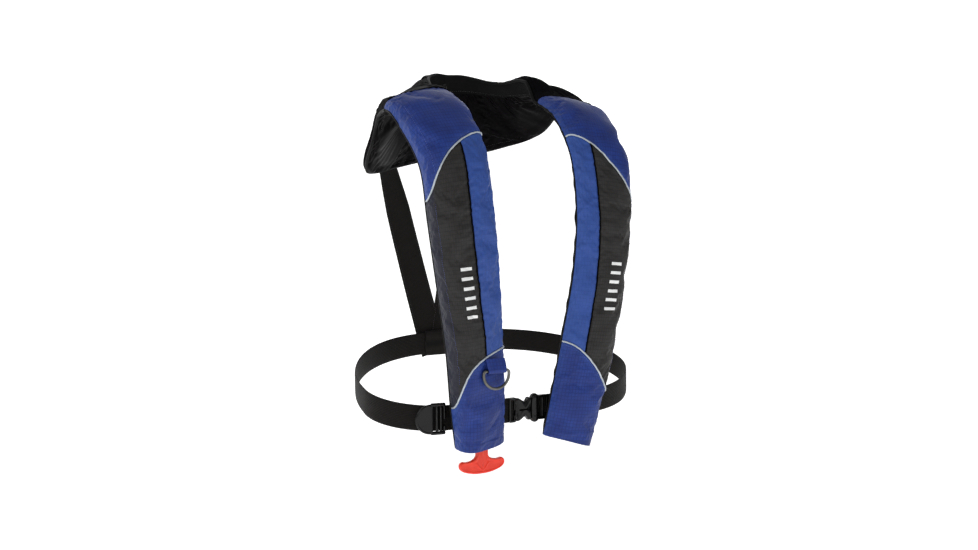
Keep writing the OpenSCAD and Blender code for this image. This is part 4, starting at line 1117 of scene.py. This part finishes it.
def frameRing(outer, inner, half, rounding=0.35):
    # a moulded frame round an opening: the section between two outlines, with rounded corners. The last of
    # the outline's steps isn't joined to the first, which leaves a narrow slit
    a = np.linspace(0, 2 * np.pi, 20, endpoint=False)
    c, s = np.cos(a), np.sin(a)
    along = 0.5 + 0.5 * np.sign(c) * np.abs(c) ** rounding
    deep = np.sign(s) * np.abs(s) ** rounding * half
    flat = inner[None] + (outer - inner)[None] * along[:, None, None]
    return np.concatenate([flat[..., :1], np.broadcast_to(deep[:, None, None], flat[..., :1].shape),
                           flat[..., 1:]], -1).transpose(1, 0, 2)


def roundedBox(halfX, halfZ, count, power=0.3):
    a = np.linspace(0, 2 * np.pi, count, endpoint=False)
    c, s = np.cos(a), np.sin(a)
    return np.stack([np.sign(c) * np.abs(c) ** power * halfX, np.sign(s) * np.abs(s) ** power * halfZ], -1)


def rod(name, start, end, radius, material, body, origin=(0, 0, 0), turn=0.0, flat=1.0, nodes=()):
    # a round bar with domed ends between two points
    start, end = np.asarray(start, float), np.asarray(end, float)
    k = np.concatenate([np.linspace(0, 1, 7) ** 2 * 0.08, np.linspace(0.08, 0.92, 12)[1:-1],
                        1 - np.linspace(1, 0, 7) ** 2 * 0.08])
    size = radius * np.minimum(1, np.sqrt(np.maximum(0.02, 1 - (1 - np.minimum(k, 1 - k) / 0.08).clip(0) ** 2)))
    path = start + (end - start) * k[:, None]
    grid = tubeGrid(path, size, 20, up=(0, 1, 0.03), flat=flat)
    return addPart(name, grid, material, body, nodes, origin=origin, turn=turn, caps=True, flip=True)


# adjuster: frame with rolled top and bottom, cross bars, and a rounded tongue with a thin raised arc
adjuster = {"around": 75.0, "stand": 4.6, "tongue": 22.0}
u = math.radians(adjuster["around"])
bowX, bowY = rightRun["reach"] - rightRun["frontFlat"], rightRun["turnY"] - harness["front"]
spot = (-(rightRun["frontFlat"] + bowX * math.cos(u)), rightRun["turnY"] - bowY * math.sin(u))
adjuster["turn"] = -math.degrees(math.atan2(bowY * math.cos(u), bowX * math.sin(u)))
home = np.array([*spot, beltHigh(spot[1])]) + placed(np.array([[0, -adjuster["stand"], 0]]), (0, 0, 0),
                                                     adjuster["turn"])[0]
outline = roundedBox(10.5, 21, 160, 0.22) + np.array([1.0, 0])
opening = roundedBox(7.6, 17.6, 160, 0.16) + np.array([1.0, 0])
addPart("adjusterFrame", frameRing(outline, opening, 2.1), blackAcetal, "adjuster",
        ("adjuster",),
        origin=home, turn=adjuster["turn"], flip=False)
for x, r, name in ((-0.6, 2.0, "adjusterBarA"), (5.2, 1.7, "adjusterBarB")):
    rod(name, (x, -0.6, -18.6), (x, -0.6, 18.6), r, blackAcetal, "adjuster", home,
        adjuster["turn"], 0.8)
for z, name in ((-19.4, "adjusterRollLow"), (19.4, "adjusterRollTop")):
    rod(name, (-9.5, -0.6, z), (11.5, -0.6, z), 2.5, blackAcetal, "adjuster", home,
        adjuster["turn"])
theta = np.linspace(0, 2 * np.pi, 180, endpoint=False)
c, s = np.cos(theta), np.sin(theta)
tongueLine = np.stack([np.where(c < 0, -9 + adjuster["tongue"] * c, -9 + 2.0 * c), 20.6 * s], -1)
tongueSpine = np.stack([np.full(180, -9.3), 12 * s], -1)


def tongueRelief(x, z):
    # a shallow thumb dish with a thin raised arc just inside the rounded end
    r = np.hypot((x + 9) / adjuster["tongue"], z / 20.6)
    arc = np.exp(-((r - 0.9) / 0.03) ** 2) * (x < -10)
    return 0.5 * arc - 0.6 * np.exp(-(((x + 19) / 8) ** 2 + (z / 13) ** 2))


addPart("adjusterTongue", plateGrid(tongueLine, tongueSpine, 1.5, 1.4, tongueRelief, 40), blackAcetal,
        "adjuster", origin=home + placed(np.array([[0, -0.9, 0]]), (0, 0, 0), adjuster["turn"])[0],
        turn=adjuster["turn"], flip=True)

# side release buckle, socket half: bar, frame, waisted body with a crossed relief and two rounded shoulders
buckleHome = (18, harness["front"], harness["frontHigh"])
socketOuter = roundedBox(6.0, 17.8, 140, 0.25) + np.array([-29.2, 0])
socketInner = roundedBox(2.6, 14.6, 140, 0.2) + np.array([-29.6, 0])
addPart("socketBarFrame", frameRing(socketOuter, socketInner, 3.0), blackAcetal, "belt_run",
        ("buckle_socket",), origin=buckleHome, flip=False)
socketLine = smoothOutline([(-25.5, -15.6), (-20, -16.6), (-14, -13.4), (-10.2, -10.4), (-6.6, -12.4),
                            (-3.5, -16.4), (-0.4, -15.6),
                            (0, -11), (-0.2, 0), (0, 11), (-0.4, 15.6), (-3.5, 16.4), (-6.6, 12.4),
                            (-10.2, 10.4),
                            (-14, 13.4), (-20, 16.6), (-25.5, 15.6), (-26, 10), (-26, 0), (-26, -10)], 240)
socketSpine = np.stack([np.clip(socketLine[:, 0], -20, -5), socketLine[:, 1] * 0.1], -1)


def socketRelief(x, z):
    # an X of two soft ridges from corner to corner, a sunk crescent at the bar side and a dished middle edge
    ridge = np.minimum(segmentDistance(x, z, (-20, -14), (-1, 14)), segmentDistance(x, z, (-20, 14), (-1, -14)))
    crescent = np.exp(-((np.hypot(x + 33, z * 0.62) - 10.2) / 1.5) ** 2)
    lip = 0.7 * np.exp(-((x + 1.4) / 1.0) ** 2)
    return 0.9 * np.exp(-(ridge / 3.4) ** 2) - 1.6 * crescent + lip * 0.5 - 0.4 * np.exp(-((z / 3.5) ** 2
                                                                                           + ((x + 3)
                                                                                              / 4) ** 2))


addPart("socketBody", plateGrid(socketLine, socketSpine, 5.0, 2.4, socketRelief, 44, 0.5), blackAcetal,
        "belt_run", origin=buckleHome, flip=True)

# plug half: rounded shoulders, a base with two webbing bars, a centre guide
plugLine = smoothOutline([(1.0, -14), (3.5, -19), (8, -21), (12.5, -19), (14.2, -15.8), (14.6, 0),
                          (14.2, 15.8), (12.5, 19), (8, 21),
                          (3.5, 19), (1.0, 14), (0.8, 7), (0.8, 0), (0.8, -7)], 220)
plugSpine = np.stack([np.full(220, 7.4), np.clip(plugLine[:, 1] * 0.62, -13, 13)], -1)
addPart("plugShoulders", plateGrid(plugLine, plugSpine, 5.0, 2.6,
                                   lambda x, z: 0.9
                                   * np.exp(-(((np.abs(z) - 14.5) / 4.5) ** 2 + ((x - 7.5) / 4.5) ** 2)), 30,
                                   0.4),
        blackAcetal, "cover", ("buckle_plug",), origin=buckleHome, flip=True)
plugOuter = roundedBox(8.6, 17.8, 140, 0.22) + np.array([21.6, 0])
plugInner = roundedBox(5.6, 14.8, 140, 0.18) + np.array([21.2, 0])
addPart("plugBase", frameRing(plugOuter, plugInner, 3.0), blackAcetal, "cover",
        origin=buckleHome, flip=False)
rod("plugBar", (22.0, 0, -15.5), (22.0, 0, 15.5), 1.9, blackAcetal, "cover", buckleHome)
rod("plugGuide", (3, 0, 0), (-19, 0, 0), 1.9, blackAcetal, "cover", buckleHome)
print("buckle and adjuster made")

# pull handle: a stem with curved fillets into a wide grip, a raised rim, two ribs in a V and a middle ridge
handle = {"place": (-71.5, -119.04, -443.5), "rim": 1.1, "half": 3.1}
handleSide = np.array([(9.0, 26), (9.0, 17), (9.0, 8), (9.2, 1), (11.5, -3.5), (17, -6.3), (25, -7.2),
                       (30, -6.4), (34.2, -8.4),
                       (35.4, -13), (33, -18), (26, -22), (13, -25.2)])
handleLine = smoothOutline(np.vstack([handleSide * [-1, 1], [[0, -26]], handleSide[::-1]]), 420)
handleX, handleZ = handleLine.T
handleSpine = np.stack([np.sign(handleX) * np.clip((np.abs(handleX) - 11) * 1.2, 0, 28),
                        np.where(handleZ > -4, np.interp(handleZ, [-4, 2, 26], [-14.5, -6, 22]), -14.5)], -1)


def handleRelief(x, z):
    # two ribs from the stem's foot to the grip's lower middle, and a ridge between them
    ribs = np.minimum(segmentDistance(x, z, (-9.5, -11), (0, -22)), segmentDistance(x, z, (9.5, -11), (0, -22)))
    middle = segmentDistance(x, z, (0, 6), (0, -20))
    wing = np.minimum(segmentDistance(x, z, (12, -15), (27, -14.5)),
                      segmentDistance(x, z, (-12, -15), (-27, -14.5)))
    return 0.8 * np.exp(-(ribs / 1.1) ** 2) + 0.55 * np.exp(-(middle / 0.9) ** 2) - 0.35 * np.exp(-(wing
                                                                                                    / 3.0) ** 2)


handleGrid = plateGrid(handleLine, handleSpine, handle["half"], 1.3, handleRelief, 40)
sizeOf = np.linspace(0, 1, 40)
rimLift = handle["rim"] * smoothStep((sizeOf - 0.72) / 0.1)
handleGrid[:40, :, 1] -= (rimLift * 0.7)[:, None]
handleGrid[-40:, :, 1] += (rimLift[::-1] * 0.7)[:, None]
addPart("pullHandle", handleGrid, redPlastic, "pull", ("pull_handle",), origin=handle["place"],
        flip=True)
print("handle made")

# cloth tab that carries the D-ring: down over the wire from the seam above, and back up behind it
tab = {"wide": 29.0, "wire": 4.0}
ringLow, ringHigh = (np.asarray(corner, float) * 1000 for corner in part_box("d_ring"))
ring = np.array([(ringLow[0] + ringHigh[0]) / 2, (ringLow[1] + ringHigh[1]) / 2, ringHigh[2] - tab["wire"] / 2])
seamAt = skin(np.array([1.9]), np.array([0.30]))[0] * np.array([-1.0, 1, 1])
upward = unit(seamAt - skin(np.array([1.66]), np.array([0.30]))[0] * np.array([-1.0, 1, 1]))
outward = unit(np.array([0.0, -1.0, 0.12]))
wrapAngle = np.linspace(np.pi / 2, -np.pi / 2 - 0.2, 22)
r = tab["wire"] / 2 + 1.2
curl = np.stack([-np.cos(wrapAngle) * r, np.sin(wrapAngle) * r], -1)
down = np.stack([np.linspace(17.0, 0.5, 30), np.interp(np.linspace(0, 1, 30), [0, 0.25, 1], [-2.6, -1.0, r])],
                -1)
behind = np.stack([np.linspace(0.5, 15.5, 24),
                   np.interp(np.linspace(0, 1, 24), [0, 0.3, 1], [-r, -3.0, -3.4])], -1)
loop = resample(np.vstack([down, curl, behind])[::3], 90)
u = np.linspace(-1, 1, 36)
pinch = 1 - 0.06 * np.exp(-((np.arange(90) - 45) / 18.0) ** 2)
grid = ring + upward * loop[:, None, :1] + outward * loop[:, None,
                                                          1:] + np.array([1.0, 0, 0]) * (u[None, :, None]
                                                                                         * tab["wide"] / 2
                                                                                         * pinch[:, None, None])
grid = grid + outward * (0.35 * np.sin(u * 7 + 1)[None, :]
                         * np.exp(-((np.arange(90)[:, None] - 18) / 14.0) ** 2))[..., None]
uv = np.stack([np.broadcast_to(u * 15, (90, 36)), lengths(grid, 0)], -1)
tabPiece = makeMesh("ringTab", grid, blueNylon, uv=uv, solid=0.9, flip=False)
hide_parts("ring_tab")
stitchRow("tabStitch", grid[26, 2:-2], np.broadcast_to(outward, (32, 3)), blueThread, pitch=2.6)
print("ring tab made")

# carried-over CAD nodes
finishes = {
    "d_ring": ringSteel, "bladder_r": yellowFilm, "bladder_l": yellowFilm, "bladder_neck": yellowFilm,
    "inflator_body": whiteAcetal, "retaining_nut": whiteAcetal, "gas_cylinder": zincSteel,
    "bobbin": whiteAcetal,
    "bobbin_cap": yellowPlastic, "piercing_pin": zincSteel, "lever": redPlastic, "lanyard": redCord,
    "oral_tube": yellowFilm, "valve_body": blackAcetal, "valve_spring": zincSteel, "valve_poppet": redPlastic,
    "dust_cap": blackAcetal, "prong_upper": blackAcetal, "prong_lower": blackAcetal,
}
for nodeName, material in finishes.items():
    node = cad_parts[nodeName]
    if not node.data.materials:
        node.data.materials.append(material)
    for k in range(len(node.material_slots)):
        node.material_slots[k].material = material

# stage
studio = {"floorHigh": -0.4875, "world": 0.30, "key": 17.0, "fill": 4.0, "top": 1.0, "rim": 3.0}


def studioWhite(name, specular, glow):
    # matt white, giving off some light of its own
    return solidMaterial(name, {
        "shader": {"Specular IOR Level": specular, "Emission Color": (1, 1, 1, 1), "Emission Strength": glow},
        "dark": "#FAFAFA", "light": "#FFFFFF", "rough": 0.9, "grainMm": 4.0, "bump": 0.02, "slow": 0.5})


def stagePiece(name, grid, material, smooth):
    # a piece of the studio, from a grid of points in metres
    obj = newObject(name, grid * 1000, gridFaces(*grid.shape[:2]), material, smooth)
    return obj


def makeFloor(c):
    # a pale sweep of paper: flat floor that curves up into a backdrop, carried along X
    a = np.linspace(0, np.pi / 2, 24)
    curve = np.stack([3.0 + 1.5 * np.sin(a), 1.5 - 1.5 * np.cos(a)], -1)
    profile = np.vstack([[[-6.0, 0.0]], [[2.6, 0.0]], curve, [[4.5, 6.0]]])
    x = np.linspace(-9, 9, 12)
    columns = np.broadcast_arrays(x[None, :], profile[:, None, 0], profile[:, None, 1] + c["floorHigh"])
    stagePiece("studioFloor", np.stack(columns, -1), studioWhite("paleSeamlessPaper", 0.1, 0.7), True)


def makeBackdrop(c):
    # a round white wall of lit cloth behind every other side. It is seen, but lights nothing
    turn, high = np.meshgrid(np.linspace(0, 2 * np.pi, 97), np.array([c["floorHigh"] - 0.5, 7.0]),
                             indexing="ij")
    grid = np.stack([5.5 * np.cos(turn), 5.5 * np.sin(turn), high], -1)
    wall = stagePiece("studioBackdrop", grid, studioWhite("whiteBackdropCloth", 0.0, 1.0), False)
    wall.visible_diffuse = wall.visible_glossy = wall.visible_transmission = wall.visible_shadow = False


def areaLight(name, place, aim, size, power, tint="#FFFFFF"):
    data = bpy.data.lights.new(name, "AREA")
    data.shape, data.size, data.energy, data.color = "SQUARE", size, power, toLinear(tint)[:3]
    obj = bpy.data.objects.new(name, data)
    scene.collection.objects.link(obj)
    obj.location = place
    obj.rotation_euler = (Vector(place) - Vector(aim)).to_track_quat("Z", "Y").to_euler()


makeFloor(studio)
makeBackdrop(studio)
world = bpy.data.worlds.new("studioWorld")
scene.world = world
world.use_nodes = True
world.node_tree.nodes["Background"].inputs[0].default_value = (1, 1, 1, 1)
world.node_tree.nodes["Background"].inputs[1].default_value = studio["world"]
middle = (0, 0, -0.2)
areaLight("keyLight", (-1.9, -1.5, 0.9), middle, 1.3, studio["key"])
areaLight("fillLight", (1.6, -2.0, 0.3), middle, 1.6, studio["fill"])
areaLight("topLight", (0.1, 0.1, 1.7), middle, 1.4, studio["top"])
areaLight("rimLight", (0.9, 1.6, 0.5), middle, 1.0, studio["rim"])
scene.view_settings.view_transform = "Standard"
print("stage made")

print("scene built")
